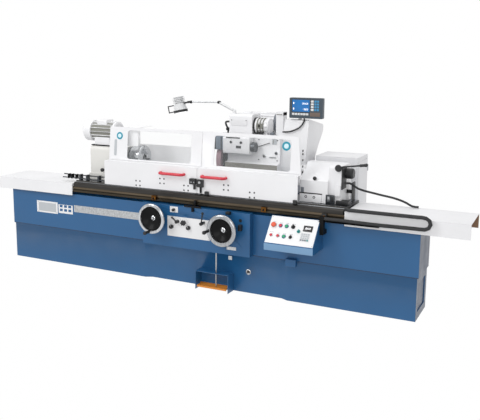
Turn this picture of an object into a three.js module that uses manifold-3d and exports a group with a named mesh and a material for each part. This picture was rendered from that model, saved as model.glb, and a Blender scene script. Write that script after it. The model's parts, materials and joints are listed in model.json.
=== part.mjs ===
// A cylindrical grinding machine, built from its castings, tables, heads, guards and controls.
// Millimetres, +Z up, +X to the operator's right, +Y away from the operator.
// The origin is on the floor, under the work axis, at the middle of the bed's length.
import * as THREE from "three";
import { mergeVertices } from "three/addons/utils/BufferGeometryUtils.js";
import Module from "manifold-3d";

const wasm = await Module();
wasm.setup();

// Shared clearances and counts
const seatGap = 0.3;
const overrun = 6;
const fineSides = 28;
const roundSides = 20;
const smallSides = 10;
const cornerSteps = 4;

// Bed
const axisToTableFront = 290;
const tableOverhang = 20;
const bedLength = 4040;
const bedDepth = 390;
const bedHeight = 705;
const seamHeight = 347;
const plinthEndInset = 12;
const plinthFrontInset = 8;
const kneeRecessLeft = -450;
const kneeRecessWidth = 1400;
const kneeRecessDepth = 30;
const kneeRecessSlope = 60;
const endPocketDepth = 8;
const endPocketMargin = 60;
const wayRise = 29.7;
const flatWayWidth = 70;
const veeWayWidth = 90;
const veeWayTopWidth = 36;
const wayFromEdge = 45;
const rearBaseLeft = 130;
const rearBaseMargin = 10;
const rearBaseBack = 1230;
const rearBaseRise = 55;
const rearStepDepth = 55;
const rearStepDrop = 15;
const crossWayWidth = 95;
const crossWayInset = 40;
const crossWayRise = 25;

// Table drive inside the bed
const cylinderRadius = 40;
const cylinderBore = 30;
const cylinderLength = 1180;
const cylinderLeft = -640;
const cylinderDrop = 48;
const cylinderY = -62;
const trenchMargin = 8;
const pistonLength = 40;
const pistonX = 40;
const rodRadius = 14;
const rodReach = 1390;
const rodBracketWidth = 34;
const rodBracketLength = 36;
const trenchEnd = 1830;

// Tables
const tableLength = 2679;
const tableShift = 94.5;
const tableWidth = 440;
const lowerTableHeight = 50;
const upperTableHeight = 44.7;
const swivelEndGap = 14.5;
const swivelPinRadius = 24;
const swivelPinHeight = 26;
const frontSlotHeight = 10;
const frontSlotDepth = 12;
const frontSlotDrop = 20;
const upperChamfer = 14;
const railInset = 38;
const railWidth = 14;
const railHeight = 12;
const dogWidth = 44;
const dogHeight = 41;
const dogDepth = 18;
const dogScrewRadius = 7;
const dogScrewLength = 13;
const leftDogX = -323;
const rightDogX = 747;

// Way covers
const coverSheet = 3;
const coverOverhang = 10;
const coverHeight = 115;
const coverDrop = 35;
const leftCoverLength = 920;
const rightCoverLength = 946;
const coverCorner = 70;
const coverWayClear = 2.3;

// Hose loop in front of the right cover
const loopRadius = 15;
const loopY = -340;
const loopTurnX = 2055;
const loopLowRise = 45;
const loopHighRise = 134;
const loopStartInset = 12;
const loopBend = 30;
const anchorWidth = 30;
const anchorHalfDepth = 18;
const anchorFoot = 130;

// Front control casting, its levers and wheels
const apronLeft = -420;
const apronWidth = 1060;
const apronDepth = 70;
const apronChamfer = 40;
const apronRise = 15;
const shaftHole = 26;
const traverseX = -265;
const traverseDrop = 100;
const traverseRadius = 134;
const infeedX = 425;
const infeedDrop = 130;
const infeedRadius = 137.5;
const wheelStand = 100;
const rimWidth = 24;
const rimDepth = 24;
const webThickness = 9;
const hubRadius = 30;
const hubLength = 58;
const shaftRadius = 15;
const gripRadius = 16;
const gripLength = 78;
const gripStemRadius = 7;
const gripStemLength = 14;
const traverseGripTurn = -1.65;
const infeedGripTurn = 3.22;
const gripInset = 22;
const dialWidth = 40;
const dialDepth = 30;
const leverX = 207;
const startLeverDrop = 105;
const leverHub = 15;
const leverStand = 52;
const leverReach = 92;
const leverLean = 13;
const leverRod = 6;
const leverBall = 12;
const throttleX = 20;
const throttleDrop = 121;
const throttleRadius = 24;
const throttleLobe = 7;
const throttleLobes = 6;
const throttleThickness = 22;
const dwellX = -52;
const dwellDrop = 120;
const dwellRadius = 15;
const dwellReachX = -46;
const dwellReachZ = 34;
const stemRadius = 8;
const knobStand = 26;
const reverseX = 99;
const reverseHalf = 84;
const reverseBar = 14;
const reverseBarDepth = 7;
const reverseNeck = 10;
const reverseRise = 4;
const reverseTop = 58;
const reversePivotDrop = 20;
const reverseFinger = 14;

// Console
const consoleLeft = 840;
const consoleWidth = 413;
const consoleDepth = 237;
const consoleBottomDrop = 220;
const consoleEdgeDrop = 165;
const consoleRise = 30;
const consoleLipFront = 74;
const consoleLip = 6;
const consoleNotch = 45;
const buttonRadius = 12;
const buttonHeight = 10;
const buttonDepth = 12;
const buttonTravel = 4.5;
const collarRadius = 17;
const collarHeight = 5;
const stopHeadRadius = 21;
const stopHeadHeight = 12;
const selectorGrip = 8;
const topRow = 168;
const lowRow = 76;
const controlColumns = [42, 100, 152, 208];

// Foot pedal
const pedalGuardLeft = 121;
const pedalGuardWidth = 320;
const pedalGuardHeight = 163;
const pedalGuardReach = 74;
const pedalGuardSheet = 4;
const pedalSideGap = 14;
const pedalHeight = 34;
const pedalThickness = 8;
const pedalReach = 88;
const pedalPinRadius = 6;
const pedalHingeInset = 18;
const pullRodRadius = 7;
const pullRodX = 308;
const pullRodInset = 44;
const pullRodDepth = 34;

// Doors
const doorInset = 30;
const doorSheet = 4;
const doorGapToTable = 4;
const doorLedgeZ = 222;
const doorLedgeDepth = 76;
const doorHeight = 535;
const doorLean = 33;
const leftDoorLeft = -890;
const doorSplit = 95;
const doorSplitGap = 4;
const rightDoorRight = 1025;
const doorTopInset = 40;
const windowLeftX = [-690, -15];
const windowRightX = [215, 925];
const windowLowZ = 245;
const windowHighZ = 506;
const windowCorner = 26;
const rollerRadius = 12;
const rollerWidth = 16;
const rollerInset = 110;
const handleLeftX = [-270, -33];
const handleRightX = [152, 378];
const handleDrop = 124;
const handleStand = 44;
const handleRadius = 13;
const handleBend = 20;
const interlockLeft = 30;
const interlockWidth = 62;
const interlockDrop = 68;
const interlockHeight = 50;
const interlockDepth = 26;

// Work head
const workheadInset = 60;
const workheadLength = 410;
const workheadFront = 125;
const workheadBack = 150;
const workheadFoot = 70;
const workheadRise = 335;
const workheadCorner = 45;
const centreHeight = 240;
const noseLength = 18;
const noseRadius = 62;
const chuckLength = 130;
const chuckRadius = 115;
const chuckBore = 30;
const chuckPlate = 24;
const jawWidth = 20;
const jawSlotDepth = 26;
const jawReach = 34;
const jawStep = 16;
const jawInner = 34;
const jawLength = 74;
const motorRadius = 88;
const motorLift = 230;
const motorInset = 140;
const motorLength = 368;
const motorFins = 16;
const motorFinRise = 9;
const cowlLength = 96;
const cowlRadius = 101;
const motorFootWidth = 150;
const motorBoxWidth = 110;
const motorBoxHeight = 12;

// Tailstock
const tailInset = 74.5;
const tailLength = 345;
const tailFront = 140;
const tailBack = 150;
const tailShoulder = 180;
const tailRoof = 310;
const tailRidge = 30;
const tailGearLength = 105;
const tailGearFront = 120;
const tailNose = 38;
const tailNoseRadius = 44;
const quillRadius = 28;
const quillOut = 62;
const quillLength = 300;
const quillTravel = 40;
const centreLength = 44;
const centreRadius = 16;
const leverDrop = 13;
const leverHubRadius = 22;
const leverPlane = 130;
const tailLeverReach = 224;
const tailLeverRise = 40;
const tailGripLength = 60;
const tailGripRadius = 15;
const tailHoseRadius = 9;
const tailHoseStart = 32;
const tailKnobStem = 8;
const leverInset = 23;

// Wheel head
const wheelStandoff = 190;
const wheelRadius = 200;
const wheelWidth = 50;
const wheelBore = 101.5;
const wheelLeft = 45;
const flangeRadius = 128;
const flangeWidth = 12;
const guardSide = 19;
const guardSheet = 6;
const guardRim = 20;
const guardClear = 15;
const guardMouthTop = 100;
const guardMouthLow = 165;
const guardMouthInset = 100;
const guardBossRadius = 90;
const spindleRadius = 38;
const spindleHoleGap = 4;
const headGap = 30;
const headWidth = 515;
const headFront = 230;
const headDepth = 510;
const headRise = 230;
const headCorner = 40;
const headLift = 30;
const splashFront = 170;
const splashTop = 200;
const splashSlope = 15;
const slideFront = 410;
const slideLength = 720;
const slideRight = 285;
const driveLeft = 10;
const driveWidth = 228;
const driveFront = 5;
const driveDepth = 190;
const driveHeight = 195;
const driveCorner = 26;
const postRight = 1;
const postWidth = 70;
const postFront = 70;
const postDepth = 84;
const postHeight = 226;
const beltWidth = 235;
const beltSheet = 5;
const pulleyRadius = 78;
const pulleyWidth = 60;
const pulleyInset = 34;
const beltOutlineY = [250, 262, 323, 714, 699, 587, 500, 500];
const beltOutlineZ = [-70, 110, 400, 325, 259, 151, 50, -70];
const wheelMotorY = 545;
const wheelMotorRadius = 86;
const wheelMotorLength = 380;
const wheelMotorFoot = 150;
const wheelMotorLift = 104;

// Internal grinding attachment
const bracketLeft = -5;
const bracketWidth = 265;
const bracketFront = 135;
const bracketBack = 225;
const bracketTop = 225;
const bracketBottom = 75;
const bracketCorner = 14;
const hingeY = 217;
const hingeZ = 242;
const hingeRadius = 11;
const hingePin = 5;
const hingeLug = 14;
const innerSpindleY = 180;
const innerSpindleZ = 140;
const innerSpindleRadius = 26;
const innerSpindleRight = 42;
const innerSpindleNose = 34;
const innerPulleyRadius = 45;
const innerPulleyWidth = 38;
const innerShaftRadius = 12;
const innerMotorX = 230;
const innerMotorLength = 145;
const innerMotorY = 320;
const innerMotorRadius = 65;
const innerMotorLift = 92;
const innerMotorFins = 12;
const innerMotorFoot = 80;

// Coolant pipe, lamp and readout
const pipeRadius = 9;
const tapRadius = 15;
const lampBaseRadius = 20;
const lampBaseHeight = 12;
const lampY = 280;
const lampBaseX = 40;
const lampElbowX = -120;
const lampElbowRise = 87;
const lampTipX = -443;
const lampTipRise = 80;
const lampThinRadius = 5;
const lampKnuckle = 18;
const lampHeadX = -547;
const lampHeadRadius = 58;
const lampBezelRadius = 68;
const lampHeadHeight = 146;
const lampLoop = 72;
const lampLoopRadius = 5;
const lampTopShare = 0.45;
const lampLean = -0.21;
const readoutWidth = 310;
const readoutHeight = 180;
const readoutDepth = 42;
const readoutCorner = 10;
const readoutX = 55;
const readoutLift = 7;
const readoutFront = 300;
const readoutArm = 16;
const readoutPostX = 125;

// Rear guard and cabinet
const rearGuardLeft = -1150;
const rearGuardRight = -30;
const rearGuardY = 230;
const rearGuardRise = 95;
const rearGuardSheet = 4;
const rearGutterDrop = 69;
const cabinetWidth = 380;
const cabinetFront = 350;
const cabinetDepth = 330;
const cabinetHeight = 1150;
const cabinetDoorSeam = 12;

// Worked out from the driving dimensions
const bedHalf = bedLength / 2;
const tableFront = -axisToTableFront;
const tableRear = tableFront + tableWidth;
const bedFront = tableFront + tableOverhang;
const bedRear = bedFront + bedDepth;
const wayTop = bedHeight + wayRise;
const lowerBottom = wayTop + seatGap;
const lowerTop = lowerBottom + lowerTableHeight;
const upperBottom = lowerTop + seatGap;
const upperTop = upperBottom + upperTableHeight;
const axisZ = upperTop + centreHeight;
const tableLeft = tableShift - tableLength / 2;
const tableRight = tableShift + tableLength / 2;
const upperLeft = tableLeft + swivelEndGap;
const upperRight = tableRight - swivelEndGap;
const tableMiddleY = (tableFront + tableRear) / 2;
const apronFront = bedFront - apronDepth;
const apronRight = apronLeft + apronWidth;
const apronTop = bedHeight + apronRise;
const traverseZ = bedHeight - traverseDrop;
const infeedZ = bedHeight - infeedDrop;
const leverZ = bedHeight - startLeverDrop;
const throttleZ = bedHeight - throttleDrop;
const dwellZ = bedHeight - dwellDrop;
const consoleBottom = bedHeight - consoleBottomDrop;
const consoleEdgeTop = bedHeight - consoleEdgeDrop;
const consoleTop = bedHeight + consoleRise;
const loopLowZ = bedHeight + loopLowRise;
const loopHighZ = bedHeight + loopHighRise;
const rearGuardTop = axisZ + rearGuardRise;
const rearGutterZ = bedHeight - rearGutterDrop;
const cylinderZ = bedHeight - cylinderDrop;
const rearBaseTop = bedHeight + rearBaseRise;
const crossWayTop = rearBaseTop + crossWayRise;
const headLeft = wheelLeft + wheelWidth + guardSide + guardSheet + headGap;
const headRight = headLeft + headWidth;
const rearBaseRight = headRight + slideRight + rearBaseMargin;
const slideBottom = crossWayTop + seatGap;
const slideTop = upperTop + headLift;
const headBottom = slideTop + seatGap;
const headTop = axisZ + headRise;
const wheelY = wheelStandoff + wheelRadius;
const doorFront = tableFront + doorInset;
const doorBottom = upperTop + doorGapToTable;
const ledgeZ = upperTop + doorLedgeZ;
const doorTop = upperTop + doorHeight;
const workheadLeft = upperLeft + workheadInset;
const workheadRight = workheadLeft + workheadLength;
const tailRight = upperRight - tailInset;
const tailLeft = tailRight - tailLength;
const coverFront = tableFront - coverOverhang;
const coverRear = bedRear + coverOverhang;
const coverTop = bedHeight + coverHeight - overrun;
const coverBottom = lowerBottom - coverDrop;
const driveTop = headTop + driveHeight;
const faceLean = Math.atan2(consoleTop - consoleEdgeTop, consoleDepth - consoleLipFront);
const buttonPlaces = [
  [controlColumns[0], topRow],
  [controlColumns[1], topRow],
  [controlColumns[2], topRow],
  [controlColumns[2], lowRow],
];

// Turns a closed three.js geometry into a solid that can be joined and cut.
function solid(geometry) {
  const bare = geometry.clone();
  bare.deleteAttribute("normal");
  bare.deleteAttribute("uv");
  const merged = mergeVertices(bare);
  const corners = merged.index.array;
  const kept = [];
  for (let i = 0; i < corners.length; i += 3) {
    const [a, b, c] = [corners[i], corners[i + 1], corners[i + 2]];
    if (a !== b && b !== c && c !== a) kept.push(a, b, c);
  }
  const places = merged.attributes.position.array;
  const made = (order) => new wasm.Manifold(new wasm.Mesh({
    numProp: 3,
    vertProperties: places,
    triVerts: new Uint32Array(order),
  }));
  const first = made(kept);
  return first.volume() > 0 ? first : made(kept.reverse());
}

function join(...solids) {
  return solids.reduce((whole, next) => whole.add(next));
}

function cut(whole, ...tools) {
  return tools.reduce((left, tool) => left.subtract(tool), whole);
}

// The solid as a three.js geometry with flat faces.
function geometryOf(made) {
  const mesh = made.getMesh();
  const geometry = new THREE.BufferGeometry();
  geometry.setAttribute("position", new THREE.BufferAttribute(mesh.vertProperties, mesh.numProp));
  geometry.setIndex(new THREE.BufferAttribute(mesh.triVerts, 1));
  geometry.computeVertexNormals();
  return geometry;
}

function moved(made, x, y, z) {
  return solid(geometryOf(made).translate(x, y, z));
}

// A box between two values on each axis.
function block([x0, x1], [y0, y1], [z0, z1]) {
  const box = new THREE.BoxGeometry(x1 - x0, y1 - y0, z1 - z0);
  return solid(box.translate((x0 + x1) / 2, (y0 + y1) / 2, (z0 + z1) / 2));
}

// Lays a geometry made along +Z so that its length runs along the named axis.
// The outline's own axes become (y, z) for "x", (x, z) for "y" and (x, y) for "z".
function laid(geometry, axis) {
  const along = new THREE.Matrix4();
  if (axis === "x") along.set(0, 0, 1, 0, 1, 0, 0, 0, 0, 1, 0, 0, 0, 0, 0, 1);
  if (axis === "y") along.set(1, 0, 0, 0, 0, 0, -1, 0, 0, 1, 0, 0, 0, 0, 0, 1);
  return geometry.applyMatrix4(along);
}

// A closed outline with its corners rounded, each by its own radius or all by one.
function outline(points, radius = 0) {
  const shape = new THREE.Shape();
  points.forEach((point, i) => {
    const here = new THREE.Vector2(...point);
    const before = new THREE.Vector2(...points[(i + points.length - 1) % points.length]);
    const after = new THREE.Vector2(...points[(i + 1) % points.length]);
    const round = Array.isArray(radius) ? radius[i] : radius;
    const start = here.clone().add(before.sub(here).setLength(round));
    const end = here.clone().add(after.sub(here).setLength(round));
    if (i === 0) shape.moveTo(start.x, start.y);
    else shape.lineTo(start.x, start.y);
    if (round > 0) shape.quadraticCurveTo(here.x, here.y, end.x, end.y);
  });
  shape.closePath();
  return shape;
}

// A straight extrusion of an outline along an axis, from one value to another.
function prism(shape, axis, [from, to], steps = cornerSteps) {
  const flat = Array.isArray(shape) ? outline(shape) : shape;
  const options = { depth: to - from, bevelEnabled: false, curveSegments: steps };
  const geometry = laid(new THREE.ExtrudeGeometry(flat, options), axis);
  if (axis === "x") geometry.translate(from, 0, 0);
  if (axis === "y") geometry.translate(0, to, 0);
  if (axis === "z") geometry.translate(0, 0, from);
  return solid(geometry);
}

// A round bar along an axis; centre holds the other two coordinates in the axis order x, y, z.
function bar(axis, radius, [from, to], centre, sides = roundSides) {
  const geometry = new THREE.CylinderGeometry(radius, radius, to - from, sides);
  geometry.rotateX(Math.PI / 2).translate(0, 0, (from + to) / 2);
  return placed(geometry, axis, centre);
}

// A turned solid: profile points are (radius, place along the axis), from one end to the other.
function turned(axis, profile, centre, sides = fineSides) {
  const points = profile.map(([radius, place]) => new THREE.Vector2(radius, place));
  const geometry = new THREE.LatheGeometry(points, sides).rotateX(Math.PI / 2);
  return placed(geometry, axis, centre);
}

// Turns a solid of revolution made along +Z onto an axis and moves it to its centre.
function placed(geometry, axis, centre) {
  if (axis === "x") geometry.rotateY(Math.PI / 2).translate(0, centre[0], centre[1]);
  if (axis === "y") geometry.rotateX(-Math.PI / 2).translate(centre[0], 0, centre[1]);
  if (axis === "z") geometry.translate(centre[0], centre[1], 0);
  return solid(geometry);
}

// A round rod between two points.
function rod(start, end, radius, sides = smallSides) {
  const a = new THREE.Vector3(...start);
  const b = new THREE.Vector3(...end);
  const geometry = new THREE.CylinderGeometry(radius, radius, a.distanceTo(b), sides);
  const turn = new THREE.Quaternion();
  turn.setFromUnitVectors(new THREE.Vector3(0, 1, 0), b.clone().sub(a).normalize());
  geometry.applyQuaternion(turn);
  const middle = a.add(b).multiplyScalar(1 / 2);
  return solid(geometry.translate(middle.x, middle.y, middle.z));
}

function ball([x, y, z], radius, sides = smallSides) {
  return solid(new THREE.SphereGeometry(radius, sides, sides / 2).translate(x, y, z));
}

// A round hose through hand-picked points.
function hose(points, radius, steps, sides = 8) {
  const path = new THREE.CatmullRomCurve3(points.map((p) => new THREE.Vector3(...p)), false, "centripetal");
  const section = new THREE.Shape();
  section.absarc(0, 0, radius, 0, Math.PI * 2);
  const options = { steps, extrudePath: path, curveSegments: sides / 2, bevelEnabled: false };
  return solid(new THREE.ExtrudeGeometry(section, options));
}

// Copies of a solid turned evenly about an axis through the origin.
function around(axis, count, make) {
  const turns = Array.from({ length: count }, (unused, i) => (i / count) * Math.PI * 2);
  return turns.map((turn) => {
    const geometry = geometryOf(make());
    if (axis === "x") geometry.rotateX(turn);
    if (axis === "y") geometry.rotateY(turn);
    if (axis === "z") geometry.rotateZ(turn);
    return solid(geometry);
  });
}

// Paints and metals
const paint = {
  blue: [0x2f6ea8, 0.45, 0],
  white: [0xe9e9ec, 0.5, 0],
  iron: [0x6d7074, 0.45, 0.8],
  steel: [0xb9bcc0, 0.28, 1],
  darkGrey: [0x3a3c40, 0.5, 0.2],
  black: [0x17181a, 0.5, 0],
  red: [0xd8222a, 0.4, 0],
  green: [0x2ea36a, 0.4, 0],
  orange: [0xd8702a, 0.55, 0],
  brass: [0xc49a3c, 0.35, 1],
  clear: [0xdfe8ec, 0.1, 0],
  abrasive: [0xd9b7b0, 0.95, 0],
};

function piece(parent, name, made, colour) {
  const [color, roughness, metalness] = paint[colour];
  const mesh = new THREE.Mesh(geometryOf(made), new THREE.MeshStandardMaterial({ color, roughness, metalness }));
  mesh.name = name;
  parent.add(mesh);
  return mesh;
}

function group(parent, x, y, z) {
  const made = new THREE.Group();
  made.position.set(x, y, z);
  parent.add(made);
  return made;
}

// Bed: a long beam on a plinth with a knee recess, and a base behind it for the wheel head
function bedCasting() {
  const left = -bedHalf + plinthEndInset;
  const right = bedHalf - plinthEndInset;
  const front = bedFront + plinthFrontInset;
  const recessBack = front + kneeRecessDepth;
  const recessRight = kneeRecessLeft + kneeRecessWidth;
  const plinth = prism([
    [left, front],
    [kneeRecessLeft, front],
    [kneeRecessLeft + kneeRecessSlope, recessBack],
    [recessRight - kneeRecessSlope, recessBack],
    [recessRight, front],
    [right, front],
    [right, bedRear],
    [left, bedRear],
  ], "z", [0, seamHeight]);
  const beam = block([-bedHalf, bedHalf], [bedFront, bedRear], [seamHeight, bedHeight]);
  const pocketSpan = [[bedFront + endPocketMargin, bedRear - endPocketMargin], [endPocketMargin, seamHeight - endPocketMargin]];
  const pockets = [-1, 1].map((side) => {
    const end = side * (bedHalf - plinthEndInset);
    return block([end - endPocketDepth, end + endPocketDepth], ...pocketSpan);
  });
  const veeMiddle = bedFront + wayFromEdge + veeWayWidth / 2;
  const veeWay = prism([
    [veeMiddle - veeWayWidth / 2, bedHeight],
    [veeMiddle + veeWayWidth / 2, bedHeight],
    [veeMiddle + veeWayTopWidth / 2, wayTop],
    [veeMiddle - veeWayTopWidth / 2, wayTop],
  ], "x", [-bedHalf, bedHalf]);
  const flatWay = block([-bedHalf, bedHalf], [bedRear - wayFromEdge - flatWayWidth, bedRear - wayFromEdge],
    [bedHeight, wayTop]);
  const base = prism([
    [bedRear, 0],
    [rearBaseBack, 0],
    [rearBaseBack, rearBaseTop],
    [bedRear + rearStepDepth, rearBaseTop],
    [bedRear + rearStepDepth, bedHeight - rearStepDrop],
    [bedRear, bedHeight - rearStepDrop],
  ], "x", [rearBaseLeft, rearBaseRight]);
  const crossWays = [rearBaseLeft + crossWayInset, rearBaseRight - crossWayInset - crossWayWidth].map((x) =>
    block([x, x + crossWayWidth], [bedRear + rearStepDepth + crossWayInset, rearBaseBack], [rearBaseTop, crossWayTop]));
  const half = cylinderRadius + trenchMargin;
  const trench = block([cylinderLeft - trenchMargin, trenchEnd], [cylinderY - half, cylinderY + half],
    [cylinderZ - half, bedHeight + overrun]);
  return cut(join(plinth, beam, veeWay, flatWay, base, ...crossWays), trench, ...pockets);
}

// Hydraulic cylinder under the table: a tube closed at the left, with a gland round the rod
function tableCylinder() {
  const right = cylinderLeft + cylinderLength;
  const wall = cylinderRadius - cylinderBore;
  const gland = rodRadius + seatGap;
  const tube = turned("x", [
    [0, cylinderLeft],
    [cylinderRadius, cylinderLeft],
    [cylinderRadius, right],
    [gland, right],
    [gland, right - wall],
    [cylinderBore, right - wall],
    [cylinderBore, cylinderLeft + wall],
    [0, cylinderLeft + wall],
  ], [cylinderY, cylinderZ], roundSides);
  const feet = [cylinderLeft, right - rodBracketWidth].map((x) =>
    block([x, x + rodBracketWidth], [cylinderY - cylinderRadius, cylinderY + cylinderRadius],
      [cylinderZ - cylinderRadius - trenchMargin, cylinderZ - cylinderBore - wall / 2]));
  return join(tube, ...feet);
}

// Piston, rod and the bracket that carries the table along
function pistonRod() {
  const piston = bar("x", cylinderBore - seatGap, [pistonX, pistonX + pistonLength], [cylinderY, cylinderZ]);
  const shaft = bar("x", rodRadius, [pistonX, rodReach], [cylinderY, cylinderZ], smallSides);
  const bracket = block([rodReach - rodBracketLength, rodReach],
    [cylinderY - rodBracketWidth / 2, cylinderY + rodBracketWidth / 2],
    [cylinderZ - rodBracketWidth / 2, lowerBottom - seatGap]);
  return join(piston, shaft, bracket);
}

function apronCasting() {
  const body = prism([
    [apronLeft - apronChamfer, bedFront],
    [apronLeft, apronFront],
    [apronRight, apronFront],
    [apronRight, bedFront],
  ], "z", [seamHeight, apronTop]);
  const hole = (x, z, radius) => bar("y", radius + seatGap, [apronFront - overrun, apronFront + shaftHole], [x, z]);
  const rodHole = bar("z", pullRodRadius + seatGap, [seamHeight - overrun, seamHeight + pullRodDepth],
    [pullRodX, bedFront - pullRodInset + plinthFrontInset]);
  return cut(body, hole(traverseX, traverseZ, shaftRadius), hole(infeedX, infeedZ, shaftRadius),
    hole(leverX, leverZ, stemRadius), hole(throttleX, throttleZ, stemRadius),
    hole(dwellX, dwellZ, stemRadius), hole(reverseX, apronTop - reversePivotDrop, stemRadius), rodHole);
}

// A handwheel: shaft, dished web, hub, rim and a turning grip, made about the Y axis at the origin
function handwheel(radius, ring, ringDepth, gripTurn) {
  const back = -wheelStand;
  const ringBack = back + ringDepth / 2;
  const ringFront = back - ringDepth / 2;
  const inner = radius - ring;
  const webBack = ringBack - overrun / 3;
  const body = turned("y", [
    [0, ringFront],
    [hubRadius / 2, ringFront],
    [hubRadius, back - ringDepth / 4],
    [hubRadius, -hubLength - webThickness],
    [inner, webBack - webThickness],
    [inner, ringFront],
    [radius - ring / 4, ringFront],
    [radius, back - ringDepth / 4],
    [radius, back + ringDepth / 4],
    [radius - ring / 4, ringBack],
    [inner, ringBack],
    [inner, webBack],
    [hubRadius, -hubLength],
    [hubRadius, webThickness - hubLength],
    [shaftRadius, webThickness - hubLength],
    [shaftRadius, shaftHole - seatGap * 2],
    [0, shaftHole - seatGap * 2],
  ], [0, 0]);
  const reach = radius - gripInset;
  const at = [Math.cos(gripTurn) * reach, Math.sin(gripTurn) * reach];
  const stemEnd = back - gripStemLength - ringDepth / 2;
  const stem = bar("y", gripStemRadius, [stemEnd - gripStemLength, back], at, smallSides);
  const grip = turned("y", [
    [0, stemEnd - gripLength],
    [gripRadius * 0.7, stemEnd - gripLength],
    [gripRadius, stemEnd - gripLength * 0.8],
    [gripRadius * 0.75, stemEnd - gripLength * 0.3],
    [gripRadius * 0.9, stemEnd],
    [0, stemEnd],
  ], at, smallSides);
  return join(body, stem, grip);
}

// The table reversing lever: a rocking bar on the casting with a finger that the trip dogs push
function reversingLever() {
  const z = reverseRise + reversePivotDrop;
  const front = -reverseBarDepth * 2;
  const strip = block([-reverseHalf, reverseHalf], [front, front + reverseBarDepth], [z, z + reverseBar]);
  const plate = block([-reverseNeck, reverseNeck], [front, -seatGap], [-reverseBar, z + reverseBar]);
  const pin = bar("y", stemRadius, [-reverseBarDepth, shaftHole - seatGap], [0, 0], smallSides);
  const neck = block([-reverseNeck, reverseNeck], [front, apronDepth - tableOverhang - reverseFinger],
    [z, z + reverseBar]);
  const fingerBack = apronDepth - tableOverhang - reverseFinger / 2;
  const finger = block([-reverseNeck, reverseNeck], [fingerBack - reverseFinger, fingerBack],
    [z, reversePivotDrop + reverseTop]);
  return join(strip, plate, pin, neck, finger);
}

// A hub on a stem with a leaning rod and a ball end, made at its pivot on the casting's face
function ballLever() {
  const stem = bar("y", stemRadius, [-leverStand, shaftHole - seatGap], [0, 0], smallSides);
  const hub = turned("y", [
    [0, -leverStand - leverHub],
    [leverHub * 0.7, -leverStand - leverHub],
    [leverHub, -leverStand - leverHub * 0.6],
    [leverHub, -leverStand + leverHub],
    [leverHub * 0.8, -seatGap],
    [0, -seatGap],
  ], [0, 0], roundSides);
  const tip = [leverLean, -leverStand, leverReach];
  return join(stem, hub, rod([0, -leverStand, 0], tip, leverRod), ball(tip, leverBall));
}

// A lobed throttle knob on its stem
function throttleKnob() {
  const stem = bar("y", stemRadius, [-knobStand - throttleThickness, shaftHole - seatGap], [0, 0], smallSides);
  const core = bar("y", throttleRadius - throttleLobe, [-knobStand - throttleThickness, -knobStand], [0, 0]);
  const lobe = () => bar("y", throttleLobe, [-knobStand - throttleThickness, -knobStand],
    [throttleRadius - throttleLobe, 0], smallSides);
  return join(core, stem, ...around("y", throttleLobes, lobe));
}

// A small knob with a short side lever
function dwellKnob() {
  const stem = bar("y", stemRadius, [-knobStand, shaftHole - seatGap], [0, 0], smallSides);
  const head = turned("y", [
    [0, -knobStand - dwellRadius],
    [dwellRadius * 0.8, -knobStand - dwellRadius],
    [dwellRadius, -knobStand - dwellRadius * 0.7],
    [dwellRadius, -seatGap],
    [0, -seatGap],
  ], [0, 0], roundSides);
  const tip = [dwellReachX, -knobStand, dwellReachZ];
  return join(stem, head, rod([0, -knobStand, 0], tip, leverRod), ball(tip, leverRod * 1.6, smallSides));
}

// Console: a box with a sloping face, notched behind its lip where the way cover passes
function consoleBox() {
  const front = bedFront - consoleDepth;
  const lip = bedFront - consoleLipFront;
  const body = prism([
    [front, consoleBottom],
    [front, consoleEdgeTop],
    [lip, consoleTop],
    [lip + consoleLip, consoleTop],
    [lip + consoleLip, consoleTop - consoleNotch],
    [bedFront, consoleTop - consoleNotch],
    [bedFront, consoleBottom],
  ], "x", [consoleLeft, consoleLeft + consoleWidth]);
  const right = consoleLeft + consoleWidth;
  const anchorTop = loopLowZ + loopRadius - seatGap * 3;
  const anchor = block([right - overrun, right + anchorWidth], [loopY - anchorHalfDepth, loopY + anchorHalfDepth],
    [loopLowZ - anchorFoot, anchorTop]);
  const web = block([right - anchorWidth, right + anchorWidth], [loopY - anchorHalfDepth, bedFront],
    [loopLowZ - anchorFoot, loopLowZ - anchorFoot + anchorWidth]);
  const collar = ([x, y]) => onFace(bar("z", collarRadius, [-collarHeight, collarHeight], [x, y]));
  const well = ([x, y]) => onFace(bar("z", buttonRadius + seatGap, [-buttonDepth, collarHeight * 2], [x, y]));
  return cut(join(body, anchor, web, ...buttonPlaces.map(collar)), ...buttonPlaces.map(well));
}

// Moves a solid made in the sloping face's own frame onto the console
function onFace(made) {
  const turned = geometryOf(made).rotateX(faceLean);
  return solid(turned.translate(consoleLeft, bedFront - consoleDepth, consoleEdgeTop));
}

// The frame of the console's sloping face: +Z out of the face, +Y up the slope
function consoleFace(parent) {
  const face = group(parent, consoleLeft, bedFront - consoleDepth, consoleEdgeTop);
  face.rotation.x = faceLean;
  return face;
}

function pushButton() {
  return turned("z", [
    [0, buttonTravel - buttonDepth],
    [buttonRadius, buttonTravel - buttonDepth],
    [buttonRadius, buttonHeight * 0.9],
    [buttonRadius * 0.9, buttonHeight],
    [0, buttonHeight],
  ], [0, 0], roundSides);
}

function stopButton() {
  const under = collarHeight + buttonTravel;
  return turned("z", [
    [0, buttonTravel - buttonDepth],
    [buttonRadius, buttonTravel - buttonDepth],
    [buttonRadius, under],
    [stopHeadRadius, under + seatGap],
    [stopHeadRadius, under + stopHeadHeight * 0.5],
    [stopHeadRadius * 0.7, under + stopHeadHeight],
    [0, under + stopHeadHeight * 1.1],
  ], [0, 0], roundSides);
}

function selectorSwitch() {
  const disc = bar("z", collarRadius, [seatGap, seatGap + collarHeight], [0, 0]);
  const grip = block([-selectorGrip / 2, selectorGrip / 2], [-collarRadius * 0.9, collarRadius * 0.9],
    [seatGap, buttonHeight + collarHeight * 2]);
  return join(disc, grip);
}

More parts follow.
